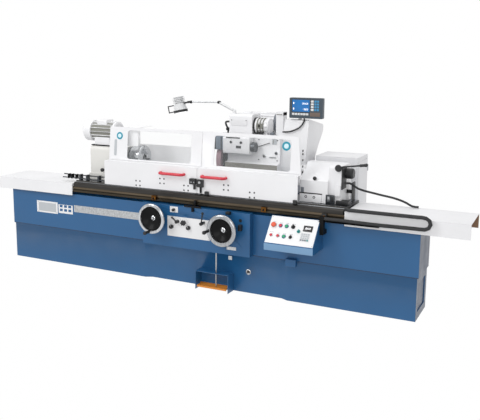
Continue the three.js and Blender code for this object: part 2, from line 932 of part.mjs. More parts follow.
// Pedal guard: a folded sheet with two sides and a roof, open at the front
function pedalGuard() {
  const right = pedalGuardLeft + pedalGuardWidth;
  const back = bedFront + plinthFrontInset + kneeRecessDepth;
  const front = bedFront - pedalGuardReach;
  const shell = block([pedalGuardLeft, right], [front, back], [0, pedalGuardHeight]);
  const room = block([pedalGuardLeft + pedalGuardSheet, right - pedalGuardSheet], [front - overrun, back + overrun],
    [-overrun, pedalGuardHeight - pedalGuardSheet]);
  const rodHole = bar("z", pullRodRadius * 1.5, [0, pedalGuardHeight + overrun],
    [pullRodX, bedFront - pullRodInset + plinthFrontInset], smallSides);
  return cut(shell, room, rodHole);
}

// Foot pedal, made at its hinge: a plate with turned-up edges on a cross tube
function footPedal() {
  const width = pedalGuardWidth - pedalGuardSheet * 2 - pedalSideGap * 2;
  const plate = block([-width / 2, width / 2], [-pedalReach, 0], [-pedalThickness / 2, pedalThickness / 2]);
  const lip = block([-width / 2, width / 2], [-pedalReach - pedalThickness, -pedalReach],
    [-pedalThickness * 1.5, pedalThickness / 2]);
  const tubeHalf = pedalGuardWidth / 2 - pedalGuardSheet - seatGap;
  const tube = bar("x", pedalPinRadius, [-tubeHalf, tubeHalf], [0, 0], smallSides);
  return join(plate, lip, tube);
}

function lowerTable() {
  const body = block([tableLeft, tableRight], [tableFront, tableRear], [lowerBottom, lowerTop]);
  const slotTop = lowerTop - frontSlotDrop;
  const slot = block([tableLeft - overrun, tableRight + overrun], [tableFront - overrun, tableFront + frontSlotDepth],
    [slotTop - frontSlotHeight, slotTop]);
  const socket = bar("z", swivelPinRadius + seatGap, [lowerTop - swivelPinHeight - seatGap, lowerTop + overrun],
    [tableShift, tableMiddleY]);
  return cut(body, slot, socket);
}

// A trip dog in the front slot of the lower table, made at its own middle
function tripDog() {
  const top = lowerTop - seatGap * 6;
  const body = prism(outline([
    [-dogWidth / 2, top - dogHeight],
    [dogWidth / 2, top - dogHeight],
    [dogWidth / 2, top],
    [-dogWidth / 2, top],
  ], [dogWidth / 4, dogWidth / 4, 0, 0]), "y", [tableFront - dogDepth, tableFront - seatGap]);
  const slotTop = lowerTop - frontSlotDrop;
  const tongue = block([-dogWidth / 2, dogWidth / 2], [tableFront - dogDepth, tableFront + frontSlotDepth - seatGap],
    [slotTop - frontSlotHeight + seatGap, slotTop - seatGap]);
  const screw = bar("y", dogScrewRadius, [tableFront - dogDepth - dogScrewLength, tableFront - dogDepth + overrun],
    [0, slotTop - frontSlotHeight / 2], smallSides);
  return join(body, tongue, screw);
}

function upperTable() {
  const body = prism([
    [tableFront, upperBottom],
    [tableFront, upperTop - upperChamfer],
    [tableFront + upperChamfer, upperTop],
    [tableRear - upperChamfer, upperTop],
    [tableRear, upperTop - upperChamfer],
    [tableRear, upperBottom],
  ], "x", [upperLeft, upperRight]);
  const rail = block([upperLeft, upperRight], [tableFront + railInset, tableFront + railInset + railWidth],
    [upperTop - overrun, upperTop + railHeight]);
  const pin = bar("z", swivelPinRadius, [lowerTop - swivelPinHeight, upperBottom + overrun],
    [tableShift, tableMiddleY]);
  return join(body, rail, pin);
}

// A folded sheet that covers the bed's ways beyond the table: closed at the table, closed or open at the far end
function wayCover(inner, outer, closed) {
  const low = Math.min(inner, outer);
  const high = Math.max(inner, outer);
  const corner = closed ? [0, 0, 0, coverCorner] : 0;
  const plan = (margin, cornerCut) => outline([
    [low + margin, coverFront + margin],
    [high - margin, coverFront + margin],
    [high - margin, coverRear - margin],
    [low + margin, coverRear - margin],
  ], cornerCut);
  const skin = prism(plan(0, corner), "z", [coverBottom, coverTop]);
  const openReach = closed ? 0 : coverSheet + overrun;
  const room = prism(outline([
    [low + coverSheet, coverFront + coverSheet],
    [high - coverSheet + openReach, coverFront + coverSheet],
    [high - coverSheet + openReach, coverRear - coverSheet],
    [low + coverSheet, coverRear - coverSheet],
  ], closed ? [0, 0, 0, coverCorner - coverSheet] : 0), "z", [coverBottom - overrun, coverTop - coverSheet]);
  const underEnds = block([low - overrun, high + overrun],
    [coverFront + coverSheet, coverRear - coverSheet], [coverBottom - overrun, wayTop + coverWayClear]);
  return cut(skin, room, underEnds);
}

// The hose that follows the table: out of the cover, along it, round a loop and back to its anchor
function conduitLoop() {
  const startX = tableRight + loopStartInset;
  const endX = consoleLeft + consoleWidth + anchorWidth + seatGap;
  const middleZ = (loopHighZ + loopLowZ) / 2;
  const loop = (loopHighZ - loopLowZ) / 2;
  return hose([
    [endX, loopY, loopLowZ],
    [endX + loopBend, loopY, loopLowZ],
    [endX + loopBend * 4, loopY, loopLowZ],
    [(endX + loopTurnX) / 2, loopY, loopLowZ - loopRadius / 4],
    [loopTurnX - loop, loopY, loopLowZ],
    [loopTurnX, loopY, loopLowZ],
    [loopTurnX + loop * Math.SQRT1_2, loopY, middleZ - loop * Math.SQRT1_2],
    [loopTurnX + loop, loopY, middleZ],
    [loopTurnX + loop * Math.SQRT1_2, loopY, middleZ + loop * Math.SQRT1_2],
    [loopTurnX, loopY, loopHighZ],
    [loopTurnX - loop, loopY, loopHighZ],
    [(startX + loopTurnX) / 2, loopY, loopHighZ],
    [startX + loopBend * 2, loopY, loopHighZ],
    [startX + loopBend, loopY + loopBend / 8, loopHighZ],
    [startX + loopBend / 4, loopY + loopBend / 2, loopHighZ],
    [startX, loopY + loopBend, loopHighZ],
    [startX, tableFront - seatGap * 6, loopHighZ],
  ], loopRadius, 50);
}

// A sliding door: apron, ledge and leaning window panel in one folded sheet, on rollers
function slidingDoor(left, right, window, topLeft, topRight) {
  const panelFoot = doorFront + doorLedgeDepth;
  const panelHead = panelFoot + doorLean;
  const sheet = prism([
    [doorFront, doorBottom],
    [doorFront + doorSheet, doorBottom],
    [doorFront + doorSheet, ledgeZ],
    [panelFoot + doorSheet, ledgeZ],
    [panelHead + doorSheet, doorTop],
    [panelHead, doorTop],
    [panelFoot, ledgeZ + doorSheet],
    [doorFront, ledgeZ + doorSheet],
  ], "x", [left, right]);
  const opening = windowCut(window, 0);
  const trimTop = ledgeZ + doorSheet;
  const trims = [
    [[left - overrun, left], [left - overrun, left + topLeft]],
    [[right, right + overrun], [right - topRight, right + overrun]],
  ].map(([foot, head]) => prism([
    [foot[0], trimTop],
    [foot[1], trimTop],
    [head[1], doorTop + overrun],
    [head[0], doorTop + overrun],
  ], "y", [panelFoot - overrun, panelHead + overrun + doorSheet]));
  const rollerZ = upperTop + railHeight + seatGap + rollerRadius;
  const rollers = [left + rollerInset, (left + right) / 2, right - rollerInset].map((x) =>
    bar("y", rollerRadius, [doorFront + doorSheet - seatGap, doorFront + doorSheet + rollerWidth], [x, rollerZ]));
  return join(cut(sheet, opening, ...trims), ...rollers);
}

// The window's outline run through the leaning panel, smaller all round by the given margin
function windowCut([left, right], margin) {
  const panelFoot = doorFront + doorLedgeDepth;
  return prism(outline([
    [left + margin, upperTop + windowLowZ + margin],
    [right - margin, upperTop + windowLowZ + margin],
    [right - margin, upperTop + windowHighZ - margin],
    [left + margin, upperTop + windowHighZ - margin],
  ], windowCorner), "y", [panelFoot - overrun, panelFoot + doorLean + doorSheet + overrun]);
}

// A clear pane that fills the window opening and leans with the panel
function windowPane(window) {
  const panelFoot = doorFront + doorLedgeDepth;
  const panelHead = panelFoot + doorLean;
  const inset = doorSheet / 4;
  const slab = prism([
    [panelFoot + inset, ledgeZ + doorSheet],
    [panelFoot + doorSheet - inset, ledgeZ + doorSheet],
    [panelHead + doorSheet - inset, doorTop],
    [panelHead + inset, doorTop],
  ], "x", [window[0] - overrun, window[1] + overrun]);
  return slab.intersect(windowCut(window, seatGap));
}

// A bow handle of round bar on the door's apron
function bowHandle([left, right]) {
  const back = doorFront - seatGap;
  const front = doorFront - handleStand;
  const z = ledgeZ - handleDrop / 2;
  return hose([
    [left, back, z],
    [left, (back + front) / 2, z],
    [left + handleBend / 4, front + handleBend / 4, z],
    [left + handleBend, front, z],
    [(left + right) / 2, front, z],
    [right - handleBend, front, z],
    [right - handleBend / 4, front + handleBend / 4, z],
    [right, (back + front) / 2, z],
    [right, back, z],
  ], handleRadius, 20);
}

function doorInterlock() {
  const back = doorFront - seatGap;
  const top = ledgeZ - interlockDrop * 1.3;
  const body = prism(outline([
    [interlockLeft, top - interlockHeight],
    [interlockLeft + interlockWidth, top - interlockHeight],
    [interlockLeft + interlockWidth, top],
    [interlockLeft, top],
  ], interlockHeight / 8), "y", [back - interlockDepth, back]);
  const stem = block([interlockLeft + interlockWidth * 0.6, interlockLeft + interlockWidth * 0.85],
    [back - interlockDepth * 0.7, back], [top - interlockHeight * 1.9, top - interlockHeight + overrun]);
  return join(body, stem);
}

// Work head: a foot on the table, a rounded housing and the spindle nose
function workheadHousing() {
  const foot = block([workheadLeft, workheadRight], [-workheadFront, workheadBack],
    [upperTop + seatGap, upperTop + workheadFoot]);
  const top = upperTop + workheadRise;
  const back = workheadBack - overrun * 2;
  const body = prism(outline([
    [-workheadFront + overrun * 2, upperTop + workheadFoot - overrun],
    [back, upperTop + workheadFoot - overrun],
    [back, top],
    [-workheadFront + overrun * 2, top],
  ], [0, 0, workheadCorner, workheadCorner]), "x", [workheadLeft + overrun * 2, workheadRight - overrun]);
  const nose = bar("x", noseRadius, [workheadRight - workheadCorner, workheadRight + noseLength - seatGap], [0, axisZ]);
  return join(foot, body, nose);
}

// A finned motor along X with a fan cowl at its low-x end, feet and a terminal box
function finnedMotor(left, length, y, z, radius, fins, finRise, cowl, cowlR, footWidth, footZ, boxHeight) {
  const right = left + length;
  const core = turned("x", [
    [0, left],
    [cowlR * 0.82, left],
    [cowlR, left + cowl * 0.2],
    [cowlR, left + cowl],
    [radius, left + cowl],
    [radius, right - cowl * 0.3],
    [radius * 1.08, right - cowl * 0.3],
    [radius * 1.08, right - cowl * 0.08],
    [radius * 0.9, right],
    [0, right],
  ], [0, 0]);
  const fin = () => block([left + cowl - finRise, right - cowl * 0.3 + finRise / 2],
    [-finRise / 4, finRise / 4], [radius - finRise, radius + finRise]);
  const footRun = [left + cowl * 1.4, right - cowl * 0.6];
  const feet = block(footRun, [-footWidth / 2, footWidth / 2], [footZ - z, -radius * 0.6]);
  const boxTop = radius + finRise + boxHeight;
  const terminals = prism(outline([
    [-motorBoxWidth / 2, radius * 0.7],
    [motorBoxWidth / 2, radius * 0.7],
    [motorBoxWidth / 2, boxTop],
    [-motorBoxWidth / 2, boxTop],
  ], [0, 0, finRise, finRise]), "x", [footRun[0] + finRise * 2, footRun[0] + finRise * 2 + motorBoxWidth]);
  const shell = join(core, ...around("x", fins, fin));
  const whole = boxHeight > 0 ? join(shell, feet, terminals) : join(shell, feet);
  return moved(whole, 0, y, z);
}

// Chuck, made about the X axis at the origin: back plate, body, bore and three jaw slots
function chuckBody() {
  const body = turned("x", [
    [0, 0],
    [chuckRadius * 0.86, 0],
    [chuckRadius * 0.86, chuckPlate],
    [chuckRadius * 0.96, chuckPlate],
    [chuckRadius, chuckPlate + overrun],
    [chuckRadius, chuckLength - overrun],
    [chuckRadius * 0.96, chuckLength],
    [0, chuckLength],
  ], [0, 0]);
  const bore = bar("x", chuckBore, [chuckPlate, chuckLength + overrun], [0, 0]);
  const half = jawWidth / 2 + seatGap;
  const slot = () => block([chuckLength - jawSlotDepth, chuckLength + overrun], [-half, half],
    [chuckBore / 2, chuckRadius + overrun]);
  return cut(body, bore, ...around("x", 3, slot));
}

// A stepped jaw standing up along +Z from the chuck's axis
function chuckJaw() {
  const face = chuckLength;
  const root = face - jawSlotDepth + seatGap;
  const outer = jawInner + jawLength;
  return prism([
    [root, jawInner],
    [face + jawReach, jawInner],
    [face + jawReach, jawInner + jawLength / 3],
    [face + jawReach - jawStep, jawInner + jawLength / 3],
    [face + jawReach - jawStep, jawInner + jawLength * 2 / 3],
    [face + jawReach - jawStep * 2, jawInner + jawLength * 2 / 3],
    [face + jawReach - jawStep * 2, outer],
    [root, outer],
  ], "y", [-jawWidth / 2, jawWidth / 2]);
}

// Tailstock: a body with a sloping shoulder, a gear block behind it and a round nose
function tailstockHousing() {
  const foot = upperTop + seatGap;
  const body = prism([
    [-tailFront, foot],
    [tailBack, foot],
    [tailBack, upperTop + tailShoulder * 1.2],
    [tailBack - tailRidge, upperTop + tailRoof],
    [tailRidge, upperTop + tailRoof],
    [-tailFront, upperTop + tailShoulder],
  ], "x", [tailLeft, tailRight - tailGearLength]);
  const gear = prism(outline([
    [-tailGearFront, foot],
    [tailBack, foot],
    [tailBack, upperTop + tailRoof],
    [-tailGearFront, upperTop + tailRoof],
  ], [0, 0, tailRidge, tailRidge]), "x", [tailRight - tailGearLength, tailRight]);
  const nose = bar("x", tailNoseRadius, [tailLeft - tailNose, tailLeft + overrun], [0, axisZ]);
  const knob = turned("x", [
    [0, tailRight - overrun],
    [tailGripRadius, tailRight - overrun],
    [tailGripRadius, tailRight + tailKnobStem],
    [tailNoseRadius, tailRight + tailKnobStem],
    [tailNoseRadius, tailRight + tailKnobStem + tailGripLength * 0.8],
    [tailNoseRadius * 0.8, tailRight + tailKnobStem + tailGripLength],
    [0, tailRight + tailKnobStem + tailGripLength],
  ], [0, axisZ], roundSides);
  const bore = bar("x", quillRadius + seatGap,
    [tailLeft - tailNose - overrun, tailLeft - quillOut - tailNose + quillLength + quillTravel + overrun], [0, axisZ]);
  return cut(join(body, gear, nose, knob), bore);
}

function tailstockQuill() {
  const front = tailLeft - tailNose - quillOut;
  return turned("x", [
    [0, front - centreLength],
    [centreRadius, front - centreLength * 0.4],
    [centreRadius, front],
    [quillRadius * 0.9, front],
    [quillRadius, front + overrun],
    [quillRadius, front + quillLength],
    [0, front + quillLength],
  ], [0, axisZ], roundSides);
}

// The quill lever, made at its hub: a bent rod with a long grip
function tailstockLever() {
  const back = leverPlane - tailGearFront - seatGap;
  const hub = bar("y", leverHubRadius, [-tailGripRadius, back], [0, 0]);
  const knee = [tailLeverReach / 6, 0, tailLeverRise / 3];
  const tip = [tailLeverReach, 0, tailLeverRise];
  const gripShare = tailGripLength / tailLeverReach;
  const gripStart = knee.map((value, i) => tip[i] - (tip[i] - knee[i]) * gripShare);
  return join(hub, rod([0, 0, 0], knee, leverRod * 1.2), rod(knee, tip, leverRod * 1.2),
    ball(knee, leverRod * 1.3), rod(gripStart, tip, tailGripRadius * 0.8), ball(tip, tailGripRadius));
}

// The hose from the tailstock's end down to the way cover
function tailstockHose() {
  const startX = tailRight + seatGap;
  const coverZ = coverTop + tailHoseRadius + seatGap * 4;
  const startZ = axisZ - tailNoseRadius * 2;
  const drop = startZ - coverZ;
  const run = rightCoverLength / 2;
  return hose([
    [startX, tailHoseStart, startZ],
    [startX + tailHoseStart, tailHoseStart, startZ],
    [startX + run * 0.2, tailHoseStart * 1.2, startZ - drop * 0.24],
    [startX + run * 0.54, tailHoseStart * 1.8, startZ - drop * 0.47],
    [startX + run * 0.83, tailHoseStart * 2.3, startZ - drop * 0.63],
    [startX + run, tailHoseStart * 2.7, startZ - drop * 0.8],
    [startX + run * 1.12, tailHoseStart * 3, coverZ + tailHoseRadius / 4],
    [startX + run * 1.22, tailHoseStart * 3.2, coverZ],
  ], tailHoseRadius, 24);
}

function wheelheadSlide() {
  const body = block([headLeft, headRight + slideRight], [slideFront, slideFront + slideLength],
    [slideBottom, slideTop]);
  const lipFront = block([headLeft, headRight + slideRight], [slideFront, slideFront + overrun * 3],
    [slideBottom, slideBottom + overrun * 3]);
  return join(body, lipFront);
}

// Wheel head housing: a rounded body over a sloping front tray, with the internal drive's box and the post on top
function wheelheadHousing() {
  const back = headFront + headDepth;
  const body = prism(outline([
    [splashFront, headBottom],
    [back, headBottom],
    [back, headTop],
    [headFront, headTop],
    [headFront, headBottom + splashTop + splashSlope],
    [splashFront, headBottom + splashTop],
  ], [0, 0, headCorner, headCorner / 4, 0, 0]), "x", [headLeft, headRight]);
  const drive = prism(outline([
    [headFront + driveFront, headTop - overrun],
    [headFront + driveFront + driveDepth, headTop - overrun],
    [headFront + driveFront + driveDepth, driveTop],
    [headFront + driveFront, driveTop],
  ], [0, 0, driveCorner, driveCorner]), "x", [headLeft + driveLeft, headLeft + driveLeft + driveWidth]);
  const postEnd = headRight - postRight;
  const post = block([postEnd - postWidth, postEnd], [headFront + postFront, headFront + postFront + postDepth],
    [headTop - overrun, headTop + postHeight]);
  const lampSeat = bar("z", lampBaseRadius, [driveTop - overrun, driveTop + lampBaseHeight],
    [headLeft + lampBaseX, lampY]);
  const lugX = [headLeft + bracketLeft - hingeLug, headLeft + bracketLeft + bracketWidth + seatGap].map(
    (x, i) => (i === 0 ? x - seatGap : x));
  const lugs = lugX.map((x) => prism(outline([
    [hingeY - hingeRadius, axisZ + hingeZ - hingeRadius],
    [headFront + headCorner, headTop - headCorner / 2],
    [headFront + headCorner, headTop + hingeRadius],
    [hingeY - hingeRadius, axisZ + hingeZ + hingeRadius],
  ], hingeRadius / 2), "x", [x, x + hingeLug]));
  const pin = bar("x", hingePin, [lugX[0], lugX[1] + hingeLug], [hingeY, axisZ + hingeZ], smallSides);
  const hole = bar("x", spindleRadius + spindleHoleGap, [headLeft - overrun, headRight + overrun], [wheelY, axisZ]);
  return cut(join(body, drive, post, lampSeat, ...lugs, pin), hole);
}

// Wheel guard: a drum open low at the front, with a boss on the housing's side
function wheelGuard() {
  const left = wheelLeft - guardSide - guardSheet;
  const right = wheelLeft + wheelWidth + guardSide + guardSheet;
  const inner = wheelRadius + guardClear;
  const centre = [wheelY, axisZ];
  const drum = bar("x", inner + guardRim, [left, right], centre, fineSides);
  const room = bar("x", inner, [left + guardSheet, right - guardSheet], centre, fineSides);
  const boss = bar("x", guardBossRadius, [right - overrun, headLeft - seatGap], centre);
  const hole = bar("x", spindleRadius + spindleHoleGap, [right - guardSheet - overrun, headLeft + overrun], centre);
  const mouth = block([left - overrun, right + overrun],
    [wheelY - inner - guardRim - overrun, wheelY - guardMouthInset],
    [axisZ - guardMouthLow, axisZ + guardMouthTop]);
  return cut(join(cut(drum, room), boss), hole, mouth);
}

// The abrasive wheel, made about the X axis at the origin
function grindingWheel() {
  const inner = wheelBore + seatGap;
  return turned("x", [
    [inner, 0],
    [wheelRadius - overrun / 2, 0],
    [wheelRadius, overrun / 2],
    [wheelRadius, wheelWidth - overrun / 2],
    [wheelRadius - overrun / 2, wheelWidth],
    [inner, wheelWidth],
    [inner, 0],
  ], [0, 0], fineSides + roundSides);
}

// Wheel spindle: two flanges and a hub in the wheel, the shaft and the belt pulley with its grooves
function wheelSpindle() {
  const from = wheelWidth + seatGap;
  const pulleyStart = headRight - wheelLeft + pulleyInset;
  const pulleyEnd = pulleyStart + pulleyWidth;
  const groove = pulleyWidth / 12;
  const grooves = Array.from({ length: 3 }, (unused, i) => pulleyStart + groove * 2 + i * groove * 3.4);
  const profile = [
    [0, -flangeWidth - seatGap - overrun],
    [spindleRadius, -flangeWidth - seatGap - overrun],
    [spindleRadius, -flangeWidth - seatGap],
    [flangeRadius, -flangeWidth - seatGap],
    [flangeRadius, -seatGap],
    [wheelBore, -seatGap],
    [wheelBore, from],
    [flangeRadius, from],
    [flangeRadius, from + flangeWidth],
    [spindleRadius, from + flangeWidth],
    [spindleRadius, pulleyStart],
    [pulleyRadius, pulleyStart],
    ...grooves.flatMap((at) => [
      [pulleyRadius, at],
      [pulleyRadius - groove * 2, at + groove],
      [pulleyRadius, at + groove * 2],
    ]),
    [pulleyRadius, pulleyEnd],
    [0, pulleyEnd],
  ];
  return turned("x", profile, [0, 0]);
}

// Belt guard: a sheet case round the pulley, closed but for the hole where the spindle enters
function beltGuard() {
  const right = headRight + seatGap + beltWidth;
  const edge = beltOutlineY.map((y, i) => [y, axisZ + beltOutlineZ[i]]);
  const cornerShares = [0.2, 0.2, 0.6, 0.9, 0.6, 0.2, 0.4, 0.2];
  const corners = cornerShares.map((share) => share * headCorner);
  const shell = prism(outline(edge, corners), "x", [headRight + seatGap, right]);
  const middle = edge.reduce(([a, b], [y, z]) => [a + y / edge.length, b + z / edge.length], [0, 0]);
  const room = bar("x", pulleyRadius + overrun * 3, [headRight + pulleyInset - overrun * 3, right - beltSheet * 3],
    [wheelY, axisZ], fineSides);
  const hole = bar("x", spindleRadius + spindleHoleGap, [headRight - overrun, headRight + pulleyInset], [wheelY, axisZ]);
  const postX = headRight + readoutPostX;
  const readoutZ = axisZ + beltOutlineZ[2] + readoutLift + readoutHeight / 2;
  const hingeAt = readoutFront + readoutDepth + seatGap + readoutArm;
  const postY = hingeAt + readoutArm * 2;
  const post = bar("z", readoutArm, [axisZ + beltOutlineZ[3], readoutZ + readoutArm], [postX, postY]);
  const barrel = bar("x", readoutArm, [postX - readoutArm * 2, postX + readoutArm * 2], [hingeAt, readoutZ]);
  const arm = block([postX - readoutArm / 2, postX + readoutArm / 2], [hingeAt, postY],
    [readoutZ - readoutArm / 2, readoutZ + readoutArm / 2]);
  return join(cut(shell, room, hole), post, arm, barrel);
}

// Internal grinding bracket: a block hung from its hinge barrel, bored for the spindle
function internalBracket() {
  const left = headLeft + bracketLeft;
  const right = left + bracketWidth;
  const body = prism(outline([
    [bracketFront, axisZ + bracketBottom],
    [bracketBack, axisZ + bracketBottom],
    [bracketBack, axisZ + bracketTop],
    [bracketFront, axisZ + bracketTop],
  ], [bracketCorner, bracketCorner / 2, 0, bracketCorner]), "x", [left, right]);
  const web = block([left, right], [hingeY - hingeRadius, hingeY + hingeRadius / 2],
    [axisZ + bracketTop - overrun, axisZ + hingeZ]);
  const barrel = bar("x", hingeRadius, [left, right], [hingeY, axisZ + hingeZ], roundSides);
  const pinHole = bar("x", hingePin + seatGap, [left - overrun, right + overrun], [hingeY, axisZ + hingeZ], smallSides);
  const bore = bar("x", innerSpindleRadius + seatGap, [left - overrun, right + overrun],
    [innerSpindleY, axisZ + innerSpindleZ]);
  return cut(join(body, web, barrel), pinHole, bore);
}

// The internal spindle along X: sleeve through the bracket, nose at the left, pulley at the right
function internalSpindle() {
  const left = -seatGap * 4;
  const right = bracketWidth + seatGap * 4;
  return turned("x", [
    [0, left - innerSpindleNose],
    [innerShaftRadius * 0.7, left - innerSpindleNose],
    [innerShaftRadius, left - innerSpindleNose / 2],
    [innerShaftRadius, left],
    [innerSpindleRadius, left],
    [innerSpindleRadius, right],
    [innerShaftRadius, right],
    [innerShaftRadius, right + innerSpindleRight - innerPulleyWidth],
    [innerPulleyRadius, right + innerSpindleRight - innerPulleyWidth],
    [innerPulleyRadius, right + innerSpindleRight],
    [0, right + innerSpindleRight],
  ], [0, 0], roundSides);
}

// Black pipe from the drive box over to the wheel guard's top, with a tap body on the bend
function coolantPipe() {
  const startX = headLeft + driveLeft - seatGap;
  const middleX = wheelLeft + wheelWidth / 2;
  const guardTop = axisZ + wheelRadius + guardClear + guardRim;
  const high = headTop + driveHeight * 0.62;
  const pipe = hose([
    [startX, lampY, high],
    [startX - pipeRadius * 3, lampY, high],
    [middleX + pipeRadius * 2, lampY + pipeRadius * 3, high - pipeRadius],
    [middleX, wheelY - pipeRadius * 4, high - pipeRadius * 5],
    [middleX, wheelY, guardTop + pipeRadius * 4],
    [middleX, wheelY, guardTop + seatGap * 2],
  ], pipeRadius, 20);
  const tapZ = guardTop + pipeRadius * 4;
  const tap = bar("x", tapRadius, [middleX - tapRadius, middleX + tapRadius], [wheelY, tapZ], smallSides);
  const key = block([middleX - pipeRadius / 3, middleX + pipeRadius / 3], [wheelY - tapRadius * 2.4, wheelY],
    [tapZ - pipeRadius / 2, tapZ + pipeRadius / 2]);
  return join(pipe, tap, key);
}

// Lamp arms and head, each made at the joint that carries it
function lampLowerArm() {
  const elbow = [lampElbowX - lampBaseX, -lampKnuckle / 2 - seatGap, lampElbowRise];
  return join(bar("z", lampBaseRadius * 0.8, [seatGap, lampBaseHeight * 1.6], [0, 0]),
    rod([0, 0, lampBaseHeight], elbow, lampKnuckle / 2 - seatGap), ball([0, 0, lampBaseHeight * 1.4], lampKnuckle * 0.7),
    bar("y", lampKnuckle * 0.7, [-lampKnuckle, -seatGap], [elbow[0], elbow[2]]));
}

function lampUpperArm() {
  const tip = [lampTipX - lampElbowX, 0, lampTipRise - lampElbowRise];
  return join(bar("y", lampKnuckle * 0.7, [0, lampKnuckle], [0, 0]),
    rod([0, lampKnuckle / 2, 0], [tip[0], lampKnuckle / 2, tip[2]], lampThinRadius),
    bar("y", lampKnuckle * 0.6, [0, lampKnuckle], [tip[0], tip[2]]));
}

function lampHead() {
  const at = lampHeadX - lampTipX;
  const top = lampHeadHeight * lampTopShare;
  const bottom = top - lampHeadHeight;
  const fins = 4;
  const finPitch = lampHeadHeight * 0.42 / fins;
  const finned = Array.from({ length: fins }, (unused, i) => top - finPitch * (i + 1.4)).reverse();
  const body = turned("z", [
    [0, bottom],
    [lampBezelRadius, bottom],
    [lampBezelRadius, bottom + lampHeadHeight * 0.16],
    [lampHeadRadius, bottom + lampHeadHeight * 0.4],
    ...finned.flatMap((z) => [
      [lampHeadRadius, z],
      [lampHeadRadius, z + finPitch * 0.4],
      [lampHeadRadius * 0.72, z + finPitch * 0.4],
      [lampHeadRadius * 0.72, z + finPitch],
    ]),
    [lampHeadRadius, top],
    [0, top],
  ], [at, 0], roundSides);
  const knuckle = bar("y", lampKnuckle * 0.6, [-lampKnuckle, -seatGap], [0, 0]);
  const neck = rod([0, -lampKnuckle / 2 - seatGap, 0], [at, -lampKnuckle / 2 - seatGap, 0], lampKnuckle / 2 - seatGap);
  const loopOut = at - lampHeadRadius - lampLoop;
  const corners = [
    [at - lampHeadRadius * 0.4, 0, bottom * 0.05],
    [loopOut, 0, bottom * 0.05],
    [loopOut, 0, bottom * 0.8],
    [at - lampHeadRadius, 0, bottom * 0.8],
  ];
  const loop = corners.slice(1).map((corner, i) => rod(corners[i], corner, lampLoopRadius, 6));
  const elbows = corners.slice(1, 3).map((corner) => ball(corner, lampLoopRadius * 1.2, 8));
  return join(body, knuckle, neck, ...loop, ...elbows);
}

function readout() {
  const half = readoutHeight / 2;
  return prism(outline([
    [-readoutWidth * 0.5, -half],
    [readoutWidth * 0.5, -half],
    [readoutWidth * 0.5, half],
    [-readoutWidth * 0.5, half],
  ], readoutCorner), "y", [0, readoutDepth]);
}

// Splash guard behind the table with its drain gutter on the bed's back
function rearSplashGuard() {
  return prism([
    [bedRear, rearGutterZ],
    [rearGuardY + rearGuardSheet, rearGutterZ],
    [rearGuardY + rearGuardSheet, rearGuardTop],
    [rearGuardY, rearGuardTop],
    [rearGuardY, rearGutterZ + rearGuardSheet],
    [bedRear, rearGutterZ + rearGuardSheet],
  ], "x", [rearGuardLeft, rearGuardRight]);
}

function electricalCabinet() {
  const right = rearBaseRight + cabinetWidth;
  const body = prism(outline([
    [rearBaseRight, cabinetFront],
    [right, cabinetFront],
    [right, cabinetFront + cabinetDepth],
    [rearBaseRight, cabinetFront + cabinetDepth],
  ], [0, cabinetDoorSeam, cabinetDoorSeam, 0]), "z", [0, cabinetHeight]);
  const seam = block([right - cabinetDoorSeam / 3, right + overrun],
    [cabinetFront + cabinetDoorSeam * 3, cabinetFront + cabinetDoorSeam * 3.4],
    [cabinetDoorSeam * 4, cabinetHeight - cabinetDoorSeam * 4]);
  return cut(body, seam);
}

// The scene graph: everything that stays with the bed, then each carriage with what rides on it
const machine = new THREE.Group();
machine.name = "cylindrical_grinding_machine";

piece(machine, "bed_casting", bedCasting(), "blue");
piece(machine, "table_cylinder", tableCylinder(), "iron");
piece(machine, "apron_casting", apronCasting(), "blue");
piece(machine, "console_box", consoleBox(), "blue");
piece(machine, "pedal_guard", pedalGuard(), "blue");
piece(machine, "rear_splash_guard", rearSplashGuard(), "white");
piece(machine, "electrical_cabinet", electricalCabinet(), "white");
piece(machine, "conduit_loop", conduitLoop(), "black");

const controls = group(machine, 0, apronFront, 0);
piece(group(controls, traverseX, 0, traverseZ), "traverse_handwheel",
  handwheel(traverseRadius, rimWidth, rimDepth, traverseGripTurn), "black");
piece(group(controls, infeedX, 0, infeedZ), "infeed_handwheel",
  handwheel(infeedRadius, dialWidth, dialDepth, infeedGripTurn), "steel");
piece(group(controls, reverseX, 0, apronTop - reversePivotDrop), "reversing_lever", reversingLever(), "steel");
piece(group(controls, leverX, 0, leverZ), "start_lever", ballLever(), "black");
piece(group(controls, throttleX, 0, throttleZ), "throttle_knob", throttleKnob(), "black");
piece(group(controls, dwellX, 0, dwellZ), "dwell_knob", dwellKnob(), "black");

const face = consoleFace(machine);
piece(group(face, controlColumns[0], topRow, 0), "emergency_stop", stopButton(), "red");
piece(group(face, controlColumns[1], topRow, 0), "hydraulic_stop", pushButton(), "red");
piece(group(face, controlColumns[2], topRow, 0), "hydraulic_start", pushButton(), "green");
piece(group(face, controlColumns[3], topRow, 0), "mode_selector", selectorSwitch(), "black");
piece(group(face, controlColumns[2], lowRow, 0), "wheel_start", pushButton(), "clear");

const pedalY = bedFront + plinthFrontInset + kneeRecessDepth - pedalHingeInset;
const pedalMiddle = pedalGuardLeft + pedalGuardWidth / 2;
piece(group(machine, pedalMiddle, pedalY, pedalHeight), "foot_pedal", footPedal(), "orange");
piece(machine, "pedal_rod", bar("z", pullRodRadius,
  [pedalHeight + pedalThickness / 2 + seatGap, seamHeight + pullRodDepth - seatGap],
  [pullRodX, bedFront - pullRodInset + plinthFrontInset], smallSides), "steel");

